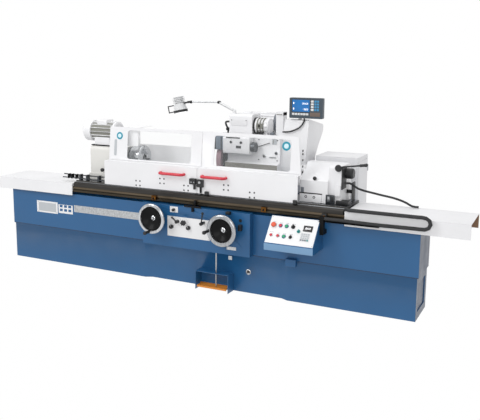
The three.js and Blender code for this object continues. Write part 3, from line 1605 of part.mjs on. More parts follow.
const table = group(machine, 0, 0, 0);
piece(table, "lower_table", lowerTable(), "iron");
piece(table, "piston_rod", pistonRod(), "steel");
piece(table, "left_way_cover", wayCover(tableLeft - seatGap, tableLeft - leftCoverLength, true), "white");
piece(table, "right_way_cover", wayCover(tableRight + seatGap, tableRight + rightCoverLength, false), "white");
piece(group(table, leftDogX, 0, 0), "trip_dog_left", tripDog(), "brass");
piece(group(table, rightDogX, 0, 0), "trip_dog_right", tripDog(), "brass");

const swivel = group(table, 0, 0, 0);
piece(swivel, "upper_table", upperTable(), "iron");
piece(swivel, "left_door", slidingDoor(leftDoorLeft, doorSplit - doorSplitGap / 2, windowLeftX, 0, 0), "white");
piece(swivel, "left_window", windowPane(windowLeftX), "clear");
piece(swivel, "left_door_handle", bowHandle(handleLeftX), "red");
piece(swivel, "door_interlock", doorInterlock(), "black");
piece(swivel, "right_door",
  slidingDoor(doorSplit + doorSplitGap / 2, rightDoorRight, windowRightX, 0, doorTopInset), "white");
piece(swivel, "right_window", windowPane(windowRightX), "clear");
piece(swivel, "right_door_handle", bowHandle(handleRightX), "red");
piece(swivel, "workhead_housing", workheadHousing(), "white");
piece(swivel, "workhead_motor", finnedMotor(workheadRight - motorInset - motorLength,
  motorLength, 0, axisZ + motorLift, motorRadius, motorFins, motorFinRise, cowlLength, cowlRadius, motorFootWidth,
  upperTop + workheadRise + seatGap, motorBoxHeight), "white");

const chuck = group(swivel, workheadRight + noseLength, 0, axisZ);
piece(chuck, "chuck_body", chuckBody(), "steel");
[0, 1, 2].forEach((i) => {
  const turn = new THREE.Group();
  turn.rotation.x = (i / 3) * Math.PI * 2;
  chuck.add(turn);
  piece(turn, `chuck_jaw_${i + 1}`, chuckJaw(), "steel");
});

piece(swivel, "tailstock_housing", tailstockHousing(), "white");
piece(swivel, "tailstock_quill", tailstockQuill(), "steel");
piece(group(swivel, tailRight - leverInset, -leverPlane, upperTop + tailRoof - leverDrop),
  "tailstock_lever", tailstockLever(), "black");
piece(swivel, "tailstock_hose", tailstockHose(), "black");

const head = group(machine, 0, 0, 0);
piece(head, "wheelhead_slide", wheelheadSlide(), "darkGrey");
piece(head, "wheelhead_housing", wheelheadHousing(), "white");
piece(head, "wheel_guard", wheelGuard(), "darkGrey");
piece(group(head, wheelLeft, wheelY, axisZ), "grinding_wheel", grindingWheel(), "abrasive");
piece(group(head, wheelLeft, wheelY, axisZ), "wheel_spindle", wheelSpindle(), "steel");
piece(head, "belt_guard", beltGuard(), "white");
piece(head, "wheel_motor", finnedMotor(headLeft, wheelMotorLength, wheelMotorY,
  headTop + wheelMotorLift, wheelMotorRadius, motorFins, motorFinRise, cowlLength, wheelMotorRadius * 1.12,
  wheelMotorFoot, headTop + seatGap, 0), "white");
piece(head, "internal_bracket", internalBracket(), "white");
piece(group(head, headLeft + bracketLeft, innerSpindleY, axisZ + innerSpindleZ), "internal_spindle",
  internalSpindle(), "darkGrey");
piece(head, "internal_motor", finnedMotor(headLeft + innerMotorX + driveLeft, innerMotorLength, innerMotorY,
  headTop + innerMotorLift, innerMotorRadius, innerMotorFins, motorFinRise / 2, cowlLength / 3, innerMotorRadius * 1.1,
  innerMotorFoot, headTop + seatGap, 0), "white");
piece(head, "coolant_pipe", coolantPipe(), "black");

const lampBase = group(head, headLeft + lampBaseX, lampY, driveTop + lampBaseHeight);
piece(lampBase, "lamp_lower_arm", lampLowerArm(), "white");
const lampElbow = group(lampBase, lampElbowX - lampBaseX, 0, lampElbowRise);
piece(lampElbow, "lamp_upper_arm", lampUpperArm(), "black");
const lampTip = group(lampElbow, lampTipX - lampElbowX, 0, lampTipRise - lampElbowRise);
lampTip.rotation.y = lampLean;
piece(lampTip, "lamp_head", lampHead(), "white");

piece(group(head, headRight + readoutX + readoutWidth / 2, readoutFront,
  axisZ + beltOutlineZ[2] + readoutLift + readoutHeight / 2), "readout_display", readout(), "darkGrey");

export default machine;
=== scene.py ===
"""Looks of the cylindrical grinding machine: an add-on that is run as a script. Lengths are in metres."""

import json
import math

import bmesh
import bpy
from bpy.props import FloatProperty, FloatVectorProperty, PointerProperty
from mathutils import Matrix, Vector


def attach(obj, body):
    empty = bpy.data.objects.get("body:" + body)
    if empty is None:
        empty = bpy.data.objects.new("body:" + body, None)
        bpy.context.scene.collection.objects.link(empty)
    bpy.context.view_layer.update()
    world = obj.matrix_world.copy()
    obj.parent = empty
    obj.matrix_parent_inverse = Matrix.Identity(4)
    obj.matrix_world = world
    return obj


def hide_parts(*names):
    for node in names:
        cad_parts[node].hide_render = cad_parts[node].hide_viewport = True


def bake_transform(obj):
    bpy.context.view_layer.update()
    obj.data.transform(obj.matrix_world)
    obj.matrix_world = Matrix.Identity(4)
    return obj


bl_info = {
    "name": "Cylindrical grinding machine",
    "version": (1, 0, 0),
    "blender": (4, 5, 0),
    "location": "View3D > Sidebar > Grinder",
    "description": "Dresses the packed CAD frame of a cylindrical grinding machine",
    "category": "Object",
}

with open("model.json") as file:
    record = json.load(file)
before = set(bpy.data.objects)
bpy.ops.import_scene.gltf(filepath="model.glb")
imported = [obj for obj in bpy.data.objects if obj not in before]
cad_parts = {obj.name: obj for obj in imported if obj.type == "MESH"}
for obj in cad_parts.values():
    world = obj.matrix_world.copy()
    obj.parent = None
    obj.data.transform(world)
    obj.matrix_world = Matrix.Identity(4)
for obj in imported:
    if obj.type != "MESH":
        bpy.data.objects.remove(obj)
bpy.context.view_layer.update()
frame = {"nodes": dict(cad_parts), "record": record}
BODY_OF = {node: body for body, nodes in frame["record"]["behaviour"]["bodies"].items() for node in nodes}

X, Y, Z = Vector((1, 0, 0)), Vector((0, 1, 0)), Vector((0, 0, 1))


def corners(node):
    """The lowest and the highest corner of a CAD node."""
    source = frame["nodes"][node]
    points = [source.matrix_world @ v.co for v in source.data.vertices]
    return [Vector([pick(p[i] for p in points) for i in range(3)]) for pick in (min, max)]


# Camera solved from the picture: place, turn to the left, tilt down and roll in radians
CAMERA_PLACE = (2.99978, -5.48301, 1.98162)
CAMERA_TURN, CAMERA_TILT, CAMERA_ROLL = 0.4664, 0.15891, 0.00434
CAMERA_LENS, CAMERA_SENSOR, CAMERA_SHIFT = 52.33, 36.0, (0.0304, -0.0796)

# Front faces that many details stand on, taken from the frame
BED_FRONT = corners("bed_casting")[0].y
APRON_FRONT = corners("apron_casting")[0].y
DOOR_FRONT = corners("left_door")[0].y
TABLE_FRONT = corners("upper_table")[0].y
READOUT_FRONT = corners("readout_display")[0].y

# The console's face: its lower left corner, the way up its slope and its right end
CONSOLE_LIP, CONSOLE_WIDTH = 0.54, 0.413
CONSOLE_EDGE = Vector((*corners("console_box")[0].xy, CONSOLE_LIP))
CONSOLE_UP = Vector((0, 0.64134, 0.76725))

# The leaning window panel of the doors: height and depth of its foot, and its rise and lean
PANEL_FOOT_Z, PANEL_FOOT_Y = 1.056, -0.184
PANEL_RISE, PANEL_LEAN = 0.309, 0.033

# The upper table's top, and the depth of thin plates, bars and figures that lie on a face
TABLE_TOP = 0.8305
PLATE = 0.0015
FIGURE = 0.0003


# Colours and materials


def linear(colour):
    """The linear colour of an sRGB hex value; one that is linear already stays as it is."""
    if not isinstance(colour, str):
        return colour
    parts = [int(colour[i : i + 2], 16) / 255 for i in (1, 3, 5)]
    return [c / 12.92 if c <= 0.04045 else ((c + 0.055) / 1.055) ** 2.4 for c in parts] + [1.0]


def shade(colour, factor, lift=0.0):
    """A colour made lighter or darker."""
    return [min(1.0, c * factor + lift) for c in linear(colour)[:3]] + [1.0]


def add(tree, kind, inputs=(), out=0, **settings):
    """Adds a node with its settings and links, and gives one of its outputs.

    inputs pairs a socket's name or number with a value, or with an output to link."""
    node = tree.nodes.new(kind)
    for key, value in settings.items():
        setattr(node, key, value)
    for key, value in dict(inputs).items():
        if isinstance(value, bpy.types.NodeSocket):
            tree.links.new(value, node.inputs[key])
        else:
            node.inputs[key].default_value = value
    return node.outputs[out] if node.outputs else None


def blank(name):
    """A new material with an empty tree, and the tree's object coordinates."""
    made = bpy.data.materials.new(name)
    made.use_nodes = True
    made.node_tree.nodes.clear()
    return made, made.node_tree, add(made.node_tree, "ShaderNodeTexCoord", out="Object")


def surface(tree, **inputs):
    """Principled surface and output; keys are socket names with _ for a blank."""
    shader = add(tree, "ShaderNodeBsdfPrincipled", {key.replace("_", " "): v for key, v in inputs.items()})
    add(tree, "ShaderNodeOutputMaterial", {"Surface": shader})


def speckle(tree, at, size, detail=3.0, levels=None, to=(0.0, 1.0)):
    """Noise whose patches are so many millimetres across, or so many along X, Y and Z.

    With two levels, the noise between them is spread over the range given as to."""
    sizes_mm = size if isinstance(size, tuple) else (size,) * 3
    scaled = add(tree, "ShaderNodeMapping", {"Vector": at, "Scale": [1000 / mm for mm in sizes_mm]})
    noise = add(tree, "ShaderNodeTexNoise", {"Vector": scaled, "Scale": 1.0, "Detail": detail})
    return add(tree, "ShaderNodeMapRange", enumerate((noise, *levels, *to))) if levels else noise


def edges(tree, at, radius, amount):
    """A rounded normal and a mask of the worn edges, broken up in flakes of 26 mm."""
    rounded = add(tree, "ShaderNodeBevel", {"Radius": radius}, samples=4)
    flat = add(tree, "ShaderNodeNewGeometry", out="Normal")
    same = add(tree, "ShaderNodeVectorMath", {0: rounded, 1: flat}, "Value", operation="DOT_PRODUCT")
    edge = add(tree, "ShaderNodeMapRange", enumerate((same, 0.99, 0.86, 0.0, amount)))
    flakes = speckle(tree, at, 26.3, 5.0, (0.42, 0.62))
    return rounded, add(tree, "ShaderNodeMath", {0: edge, 1: flakes}, operation="MULTIPLY")


# Sockets of a colour mix: factor, first and second colour, and its output
FACTOR, FIRST, SECOND, RESULT = 0, 6, 7, 2


def enamel(name, paint, worn=1.0, edge=None, rough=0.36, ior=1.5):
    """Two-pack enamel sprayed on iron and sheet: a satin coat with a faint orange peel, thin on the edges."""
    made, tree, at = blank(name)
    rounded, mask = edges(tree, at, 0.003, min(1.0, sizes().edge_wear * worn))
    # The coat is a little deeper in patches about 0.4 m across, and hands leave smudges of 0.14 m
    patch = speckle(tree, at, 385, 4.0, (0.3, 0.7), (0.0, 0.5))
    smudge = speckle(tree, at, 143, 6.0, (0.3, 0.75), (rough - 0.06, rough + 0.12))
    coat = {FACTOR: patch, FIRST: linear(paint), SECOND: shade(paint, 0.86)}
    tone = {
        FACTOR: mask,
        FIRST: add(tree, "ShaderNodeMix", coat, RESULT, data_type="RGBA"),
        SECOND: linear(edge or paints().primer),
    }
    # Orange peel is about 1 mm across; drawn at 4 mm so that it shows
    peel = {"Strength": 0.06, "Distance": 0.001, "Height": speckle(tree, at, 4), "Normal": rounded}
    surface(
        tree, Base_Color=add(tree, "ShaderNodeMix", tone, RESULT, data_type="RGBA"), Roughness=smudge,
        IOR=ior, Normal=add(tree, "ShaderNodeBump", peel), Coat_Weight=0.08, Coat_Roughness=0.2,
    )
    return made


def ground(name, metal, rough=0.3, marks=(333, 8.33, 8.33)):
    """Ground or turned metal: fine marks along the way the tool went, drawn 8 mm apart so that they show."""
    made, tree, at = blank(name)
    rounded, mask = edges(tree, at, 0.0015, 0.25)
    lines = speckle(tree, at, marks, 4.0)
    depth = add(tree, "ShaderNodeMapRange", enumerate((lines, 0.35, 0.65, 0.0, 1.0)))
    dull = add(tree, "ShaderNodeMapRange", enumerate((lines, 0.3, 0.7, rough - 0.06, rough + 0.1)))
    plain = {FACTOR: depth, FIRST: linear(metal), SECOND: shade(metal, 0.7)}
    tone = {
        FACTOR: mask,
        FIRST: add(tree, "ShaderNodeMix", plain, RESULT, data_type="RGBA"),
        SECOND: shade(metal, 1.5),
    }
    relief = {"Strength": 0.12, "Distance": 0.001, "Height": lines, "Normal": rounded}
    surface(
        tree, Base_Color=add(tree, "ShaderNodeMix", tone, RESULT, data_type="RGBA"), Metallic=1.0,
        Roughness=dull, Normal=add(tree, "ShaderNodeBump", relief),
    )
    return made


def moulded(name, paint, rough=0.42, grain=5.56, relief=0.1):
    """Injection-moulded ABS or nylon: an even colour, a fine spark-eroded grain and a soft shine."""
    made, tree, at = blank(name)
    rounded, mask = edges(tree, at, 0.0015, 0.25)
    # The grain is about 0.1 mm; drawn coarser so that it shows
    spark = {"Strength": relief, "Distance": 0.0006, "Height": speckle(tree, at, grain), "Normal": rounded}
    dull = speckle(tree, at, 71.4, 5.0, (0.3, 0.7), (rough - 0.05, rough + 0.1))
    tone = {FACTOR: mask, FIRST: linear(paint), SECOND: shade(paint, 1.3, 0.02)}
    surface(
        tree, Base_Color=add(tree, "ShaderNodeMix", tone, RESULT, data_type="RGBA"), Roughness=dull, IOR=1.53,
        Normal=add(tree, "ShaderNodeBump", spark),
    )
    return made


def glazed(name, paint, alpha):
    """Clear polycarbonate pane: a faint tint, a sharp reflection and a few wiping smears, 111 by 37 mm."""
    made, tree, at = blank(name)
    smear = speckle(tree, at, (111, 111, 37), 6.0, (0.4, 0.7), (0.04, 0.16))
    surface(tree, Base_Color=linear(paint), Roughness=smear, IOR=1.58, Alpha=alpha)
    return made


def grit(name, paint):
    """Vitrified abrasive: open pores between pink grains, drawn 3 mm across so that they show."""
    made, tree, at = blank(name)
    grains = speckle(tree, at, 3.125, 2.0)
    height = add(tree, "ShaderNodeMapRange", enumerate((grains, 0.35, 0.6, 0.0, 1.0)))
    tone = {FACTOR: height, FIRST: shade(paint, 0.62), SECOND: linear(paint)}
    pores = {"Strength": 0.5, "Distance": 0.001, "Height": grains}
    surface(
        tree, Base_Color=add(tree, "ShaderNodeMix", tone, RESULT, data_type="RGBA"), Roughness=0.92,
        Normal=add(tree, "ShaderNodeBump", pores),
    )
    return made


def lit(name, paint, strength):
    """Liquid crystal glass with its lamp on: an even glow under a glossy cover with a faint finger film."""
    made, tree, at = blank(name)
    film = speckle(tree, at, 33.3, 4.0, (0.35, 0.7), (0.08, 0.22))
    cloud = speckle(tree, at, 83.3, 3.0, (0.3, 0.7))
    tone = {FACTOR: cloud, FIRST: linear(paint), SECOND: shade(paint, 0.8)}
    glow = add(tree, "ShaderNodeMix", tone, RESULT, data_type="RGBA")
    surface(tree, Base_Color=glow, Roughness=film, Emission_Color=glow, Emission_Strength=strength)
    return made


def hue(title, text, note):
    """A colour that a user may change, given as sRGB hex."""
    return FloatVectorProperty(
        name=title, description=note, subtype="COLOR", size=4, min=0, max=1, default=linear(text)
    )


class GrinderColours(bpy.types.PropertyGroup):
    """Paint and material colours."""

    blue: hue("Bed enamel", "#1D5888", "Enamel of the bed, console and pedal guard")
    white: hue("Guard enamel", "#E8E8EA", "Enamel of the doors, covers and heads")
    primer: hue("Primer", "#8C9AA6", "Tone of thin enamel on a worn edge")
    orange: hue("Pedal enamel", "#D4852C", "Enamel of the foot pedal")
    red: hue("Handles", "#C92A3C", "Door handles and stop buttons")
    steel: hue("Steel", "#B9BBBE", "Turned and ground steel")
    black: hue("Black plastic", "#17181A", "Knobs and levers")
    screen: hue("Readout screen", "#1464A4", "Glow of the readout's screen")
    wheel: hue("Abrasive", "#BE9DA6", "Grains of the grinding wheel")


class GrinderSizes(bpy.types.PropertyGroup):
    """Sizes and strengths that change the look only."""

    screw_radius: FloatProperty(
        name="Screw radius", description="Radius of the screw heads on the doors",
        default=0.0075, min=0.003, max=0.012, unit="LENGTH",
    )
    cable_radius: FloatProperty(
        name="Cable radius", description="Radius of the readout's cable",
        default=0.0065, min=0.003, max=0.01, unit="LENGTH",
    )
    edge_wear: FloatProperty(
        name="Edge wear", description="How far the enamel is worn on the edges",
        default=0.5, min=0, max=1, subtype="FACTOR",
    )
    pane_alpha: FloatProperty(
        name="Pane", description="How much of the light the panes keep",
        default=0.06, min=0.03, max=1, subtype="FACTOR",
    )
    screen_glow: FloatProperty(
        name="Screen glow", description="Strength of the lamp behind the readout's screen",
        default=0.4, min=0, max=2,
    )


def paints():
    return bpy.context.scene.grinder_colours


def sizes():
    return bpy.context.scene.grinder_sizes


def finishes():
    """The maker of each material with its colours and settings, under the name of the real material."""
    p = paints()
    pale = shade(p.primer, 1.2)
    return {
        # Sprayed enamel: paint, share of the wear, tone of the worn edge, roughness, IOR
        # Bed, console and guard: a full satin blue; a navy copy is painted shade on the bed's right end and
        # under its ledge, and a pale copy is a painted highlight on the console's lip
        "enamel_blue": (enamel, p.blue),
        "enamel_navy": (enamel, "#16304F", 0.5),
        "enamel_sky": (enamel, "#7095B8"),
        # Doors, covers and heads: a cool white; a brighter copy is painted light on the rear guard and the
        # chuck's hood, which lie in shade; greyer on the cabinet
        "enamel_white": (enamel, p.white, 0.6, pale),
        "enamel_bright": (enamel, "#FAFAFB", 0.4, pale),
        "enamel_cabinet": (enamel, shade(p.white, 0.96), 0.5, pale),
        # Work head: a white with a warm cast
        "enamel_warm": (enamel, "#DCDBD7", 0.5),
        # Wheel guard: a grey that the window shows; the wheel head's lower band: a grey that is painted
        # shade, where the doors shade the white
        "enamel_guard": (enamel, "#6F7C8A"),
        "enamel_band": (enamel, "#8B887E", 0.5),
        # Gaps between cooling ribs and slots: grey, as if in shade
        "enamel_shadow": (enamel, "#7C7C74", 0.3, "#8A8A82"),
        # Dish of the handwheels and black end plates: nearly matt
        "enamel_black": (enamel, "#0C0D0E", 0.4, "#2A2C30", 0.5, 1.2),
        # Inside of the open cover: dull and stained brown by coolant
        "enamel_rust": (enamel, "#8A6A50", 1.0, "#6A4A36", 0.6),
        # Pedal: worn by shoes down to the iron
        "enamel_orange": (enamel, p.orange, 1.6, "#6E6259", 0.45),
        # Ground and turned metal: colour, roughness, marks in millimetres along X, Y and Z
        # Tables: a bright top, a dark front, a brown lower table, and a tan painted highlight along its edge
        "iron_top": (ground, "#8D9094"),
        "iron_dark": (ground, "#474543", 0.4),
        "iron_brown": (ground, "#4D463B", 0.42),
        "iron_tan": (ground, "#6E6252", 0.4),
        # Spindles, rods and rims: bright, the polished ones nearly a mirror
        "steel_ground": (ground, p.steel, 0.26),
        "steel_turned": (ground, p.steel, 0.22, (8.33, 8.33, 167)),
        "steel_polished": (ground, "#D3D5D8", 0.12, (16.7, 16.7, 125)),
        # Blued and oiled steel: dark with a soft shine
        "steel_dark": (ground, "#55585C", 0.34, (33.3, 33.3, 33.3)),
        "steel_black": (ground, "#2C2C2E", 0.42, (33.3, 33.3, 33.3)),
        # Trip dogs: a dull bronze
        "brass_machined": (ground, "#6F4A22", 0.34, (16.7, 16.7, 16.7)),
        # Name strips and bezels: brushed aluminium foil
        "foil_silver": (ground, "#C9CBCD", 0.34, (12.5, 12.5, 12.5)),
        # Moulded plastic: colour, roughness, grain in millimetres, relief. Knobs and keys have a soft shine
        "abs_black": (moulded, p.black),
        "abs_slate": (moulded, "#3A4650", 0.36),
        "abs_grey": (moulded, "#6B7078"),
        "abs_silver": (moulded, "#B4B8BC", 0.32),
        "abs_pale": (moulded, "#D9DADB", 0.38),
        "abs_red": (moulded, p.red, 0.3),
        "abs_orange": (moulded, "#DB5636", 0.3),
        "abs_green": (moulded, "#2E9E6B", 0.3),
        "abs_teal": (moulded, "#2B8C8A", 0.32),
        "abs_blue": (moulded, "#3D8CBA", 0.35),
        # Hoses: dull rubber with a skin that breaks the light
        "rubber_hose": (moulded, "#1D1E20", 0.6, 11.1, 0.3),
        # Printed film on the plates: flat and even, with hardly a grain
        "film_pale": (moulded, "#E4E4E5", 0.34, 16.7, 0.03),
        "film_jade": (moulded, "#3E9C84", 0.3, 16.7, 0.03),
        "film_teal": (moulded, "#1F8FA6", 0.3, 16.7, 0.03),
        "film_sky": (moulded, "#CFE6EC", 0.3, 16.7, 0.03),
        "film_brown": (moulded, "#6A5A50", 0.4, 16.7, 0.03),
        # Smoked display glass: dark and glossy
        "glass_smoked": (moulded, "#2A1E1C", 0.12, 50, 0.01),
        "pane_clear": (glazed, "#EEF3F6", sizes().pane_alpha),
        "abrasive_pink": (grit, p.wheel),
        # Screen and lamp lens: they glow by themselves
        "screen_blue": (lit, p.screen, sizes().screen_glow),
        "lens_frosted": (lit, "#F2F3F5", 0.9),
    }


def material(name):
    """The named material, made the first time that it is asked for."""
    if name in bpy.data.materials:
        return bpy.data.materials[name]
    maker, *settings = finishes()[name]
    return maker(name, *settings)


# Shapes


def plane(origin, along, up):
    """The frame of a plane: its own Z points out of it."""
    turn = Matrix((along, up, along.cross(up))).transposed().to_4x4()
    return Matrix.Translation(origin) @ turn


def front(x, y, z):
    """A frame on a face that looks at the operator."""
    return plane((x, y, z), X, Z)


def side(x, y, z):
    """A frame on a face that looks to the right."""
    return plane((x, y, z), Y, Z)


def top(x, y, z):
    """A frame on a face that looks up."""
    return plane((x, y, z), X, Y)


def lean(x, z, out=0.0):
    """A frame on the leaning front of the door panels."""
    up = Vector((0, PANEL_LEAN, PANEL_RISE)).normalized()
    y = PANEL_FOOT_Y + PANEL_LEAN * (z - PANEL_FOOT_Z) / PANEL_RISE
    return plane((x, y, z), X, up) @ Matrix.Translation((0, 0, out))


class Kit:
    """Gathers small shapes into one piece that rides on a body."""

    # Seven-segment figures: which bars are lit; a figure's width, stroke and step are shares of its height
    LIT = {
        "0": "abcdef", "1": "bc", "2": "abged", "3": "abgcd", "4": "fgbc", "5": "afgcd",
        "6": "afgedc", "7": "abc", "8": "abcdefg", "9": "abcdfg", "-": "g",
    }
    FIGURE_WIDTH, FIGURE_STROKE, FIGURE_STEP = 0.5, 0.13, 0.744

    def __init__(self, name):
        self.name, self.points, self.faces, self.marks, self.materials = name, [], [], [], []

    def take(self, points, faces, finish, place=Matrix()):
        """Adds points and faces in a material."""
        if finish not in self.materials:
            self.materials.append(finish)
        base = len(self.points)
        self.points += [place @ Vector(p) for p in points]
        self.faces += [[base + i for i in f] for f in faces]
        self.marks += [self.materials.index(finish)] * len(faces)
        return self

    def slab(self, lo, hi, finish, place=Matrix(), edge=0.002):
        """A box with rounded edges between two corners."""
        box = bmesh.new()
        size = Vector(hi) - Vector(lo)
        bmesh.ops.create_cube(box, size=1.0)
        for v in box.verts:
            v.co = Vector(lo) + Vector([size[i] * (v.co[i] + 0.5) for i in range(3)])
        width = min(edge, min(size) * 0.45)
        if width > 0:
            bmesh.ops.bevel(box, geom=box.edges[:], offset=width, segments=2, profile=0.7, affect="EDGES")
        box.verts.index_update()
        faces = [[v.index for v in f.verts] for f in box.faces]
        self.take([v.co.copy() for v in box.verts], faces, finish, place)
        box.free()
        return self

    def slabs(self, *rows):
        """Boxes in the object's own frame: two corners, a finish and the radius of the edges."""
        for lo, hi, finish, edge in rows:
            self.slab(lo, hi, finish, edge=edge)
        return self

    def plate(self, x, y, width, height, finish, face, depth=PLATE, edge=0.001, low=0.0):
        """A plate on a face, from its lower left corner, that reaches from low to depth."""
        return self.slab((x, y, low), (x + width, y + height, depth), finish, face, edge)

    def lathe(self, profile, finish, place=Matrix(), steps=40):
        """A turned shape round the frame's Z; the profile holds (radius, place)."""
        points, rings, faces = [], [], []
        for radius, at in profile:
            count = 1 if radius < 1e-6 else steps
            rings.append((len(points), count))
            turns = [2 * math.pi * i / steps for i in range(count)]
            points += [(radius * math.cos(turn), radius * math.sin(turn), at) for turn in turns]
        for (a, na), (b, nb) in zip(rings, rings[1:]):
            for i in range(steps if max(na, nb) > 1 else 0):
                j = (i + 1) % steps
                around = [a + i % na, a + j % na, b + j % nb, b + i % nb]
                faces.append(list(dict.fromkeys(around)))
        return self.take(points, faces, finish, place)

    def boss(self, radius, low, high, finish, place, cut=0.0, drop=0.0, steps=24):
        """A round boss from low to high, with its upper edge cut back over a drop in height."""
        shoulder = [(radius, high - drop), (radius - cut, high)] if drop else [(radius, high)]
        return self.lathe([(0, low), (radius, low), *shoulder, (0, high)], finish, place, steps)

    def disc(self, radius, depth, finish, place, steps=32, low=0.0):
        """A low round boss with a broken edge."""
        edge = min(radius, depth) * 0.25
        return self.boss(radius, low, depth, finish, place, edge, edge, steps)

    def ring(self, inner, outer, low, high, finish, place):
        """A flat ring."""
        profile = [(inner, low), (outer, low), (outer, high), (inner, high), (inner, low)]
        return self.lathe(profile, finish, place)

    def socket_screw(self, radius, socket, place, steps=24):
        """A cap screw: a round head with a socket."""
        head, floor = 0.005, 0.002
        profile = [(0, 0), (radius, 0), (radius, head), (socket, head), (socket, floor), (0, floor)]
        return self.lathe(profile, "steel_black", place, steps)

    def screws(self, places, finish, radius, depth):
        """Button-head screws with a shallow socket, at frames."""
        profile = [
            (0, 0), (radius, 0), (radius * 0.9, depth * 0.6), (radius * 0.5, depth),
            (radius * 0.42, depth), (radius * 0.3, depth * 0.5), (0, depth * 0.5),
        ]
        for place in places:
            self.lathe(profile, finish, place, 14)
        return self

    def sheet(self, outline, depth, finish, place=Matrix(), low=0.0):
        """A flat shape with the given outline, from low to depth along the frame's Z."""
        n = len(outline)
        points = [(x, y, z) for z in (low, depth) for x, y in outline]
        walls = [[i, (i + 1) % n, n + (i + 1) % n, n + i] for i in range(n)]
        return self.take(points, [list(range(n))[::-1], list(range(n, 2 * n))] + walls, finish, place)

    def pipe(self, path, radius, finish, sides=12):
        """A tube along points, closed at its ends."""
        path = [Vector(p) for p in path]
        count = len(path)
        forward = [(path[min(i + 1, count - 1)] - path[max(i - 1, 0)]).normalized() for i in range(count)]
        turns = [2 * math.pi * k / sides for k in range(sides)]
        across = forward[0].orthogonal().normalized()
        points, faces = [path[0]], []
        for here, ahead in zip(path, forward):
            across = (across - ahead * across.dot(ahead)).normalized()
            over = ahead.cross(across)
            points += [here + (across * math.cos(a) + over * math.sin(a)) * radius for a in turns]
        points.append(path[-1])
        last = len(points) - 1
        for k in range(sides):
            n = (k + 1) % sides
            faces += [[0, 1 + n, 1 + k], [last, last - sides + k, last - sides + n]]
            for i in range(count - 1):
                a, b = 1 + i * sides, 1 + (i + 1) * sides
                faces.append([a + k, a + n, b + n, b + k])
        return self.take(points, faces, finish)

    def digits(self, text, height, finish, place, depth):
        """Seven-segment figures along the frame's X."""
        w, t = height * self.FIGURE_WIDTH, height * self.FIGURE_STROKE
        bars = {
            "a": (0, height - t, w, height),
            "b": (w - t, height / 2, w, height),
            "c": (w - t, 0, w, height / 2),
            "d": (0, 0, w, t),
            "e": (0, 0, t, height / 2),
            "f": (0, height / 2, t, height),
            "g": (0, (height - t) / 2, w, (height + t) / 2),
            ".": (-t * 1.2, 0, -t * 0.2, t),
        }
        x = 0.0
        for figure in text:
            for bar in self.LIT.get(figure, figure):
                x0, y0, x1, y1 = bars[bar]
                self.slab((x + x0, y0, 0), (x + x1, y1, depth), finish, place, 0.0)
            if figure != ".":
                x += height * self.FIGURE_STEP
        return self

    def done(self, body, slot=None, nodes=(), angle=35.0):
        """Makes the piece, which rides on the body and stands for the nodes."""
        mesh = bpy.data.meshes.new(self.name)
        mesh.from_pydata(self.points, [], self.faces)
        for finish in self.materials:
            mesh.materials.append(material(finish))
        mesh.polygons.foreach_set("material_index", self.marks)
        return finished(self.name, mesh, body, nodes, angle)


def finished(name, mesh, body, nodes, angle):
    """Links a mesh as a piece of the object, with outward normals and sharp edges by angle."""
    work = bmesh.new()
    work.from_mesh(mesh)
    bmesh.ops.remove_doubles(work, verts=work.verts[:], dist=1e-6)
    bmesh.ops.recalc_face_normals(work, faces=work.faces[:])
    work.to_mesh(mesh)
    work.free()
    mesh.shade_smooth()
    mesh.set_sharp_from_angle(angle=math.radians(angle))
    piece = bpy.data.objects.new(name, mesh)
    bpy.context.scene.collection.objects.link(piece)
    if body:
        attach(piece, body)
    if nodes:
        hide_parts(*nodes)
    return piece


def eased(points, steps):
    """A smooth path through the points, with so many steps from each to the next."""
    points = [Vector(p) for p in points]
    ends = [points[0] * 2 - points[1]] + points + [points[-1] * 2 - points[-2]]
    result = []
    for a, b, c, d in zip(ends, ends[1:], ends[2:], ends[3:]):
        for i in range(steps):
            t = i / steps
            square, cube = a * 2 - b * 5 + c * 4 - d, b * 3 - a - c * 3 + d
            result.append(0.5 * (b * 2 + (c - a) * t + square * t * t + cube * t**3))
    return result + [points[-1]]


def dressed(node, finish, angle=32.0, parts=None):
    """The CAD node's own shape, welded and shaded. parts names another finish for some of its faces."""
    source = frame["nodes"][node]
    mesh = source.data.copy()
    mesh.name = node + "_shape"
    mesh.transform(source.matrix_world)
    work = bmesh.new()
    work.from_mesh(mesh)
    bmesh.ops.remove_doubles(work, verts=work.verts[:], dist=1e-5)
    bmesh.ops.dissolve_limit(work, angle_limit=math.radians(0.4), verts=work.verts[:], edges=work.edges[:])
    work.to_mesh(mesh)
    work.free()
    named = [(parts(p.center, p.normal) if parts else None) or finish for p in mesh.polygons]
    used = [finish] + sorted(set(named) - {finish})
    mesh.materials.clear()
    for entry in used:
        mesh.materials.append(material(entry))
    mesh.polygons.foreach_set("material_index", [used.index(entry) for entry in named])
    return finished(node + "_shape", mesh, BODY_OF[node], [node], angle)


def where(finish, test):
    """Names the finish for the faces that pass the test of their centre and normal."""
    return lambda centre, normal: finish if test(centre, normal) else None


# Operators


class GRINDER_OT_camera(bpy.types.Operator):
    """Camera at the picture's own viewpoint"""

    bl_idname = "grinder.camera"
    bl_label = "Camera"
    bl_options = {"REGISTER", "UNDO"}

    def execute(self, context):
        flat = math.cos(CAMERA_TILT)
        right = Vector((math.cos(CAMERA_TURN), math.sin(CAMERA_TURN), 0))
        view = Vector((-right.y * flat, right.x * flat, -math.sin(CAMERA_TILT)))
        up = right.cross(view)
        cos, sin = math.cos(CAMERA_ROLL), math.sin(CAMERA_ROLL)
        axes = Matrix((right * cos + up * sin, up * cos - right * sin, -view)).transposed()
        data = bpy.data.cameras.new("view")
        data.lens, data.sensor_width = CAMERA_LENS, CAMERA_SENSOR
        data.shift_x, data.shift_y = CAMERA_SHIFT
        data.clip_end = 100.0
        camera = bpy.data.objects.new("view", data)
        camera.matrix_world = Matrix.Translation(CAMERA_PLACE) @ axes.to_4x4()
        bpy.context.scene.collection.objects.link(camera)
        bpy.context.scene.camera = camera
        return {"FINISHED"}


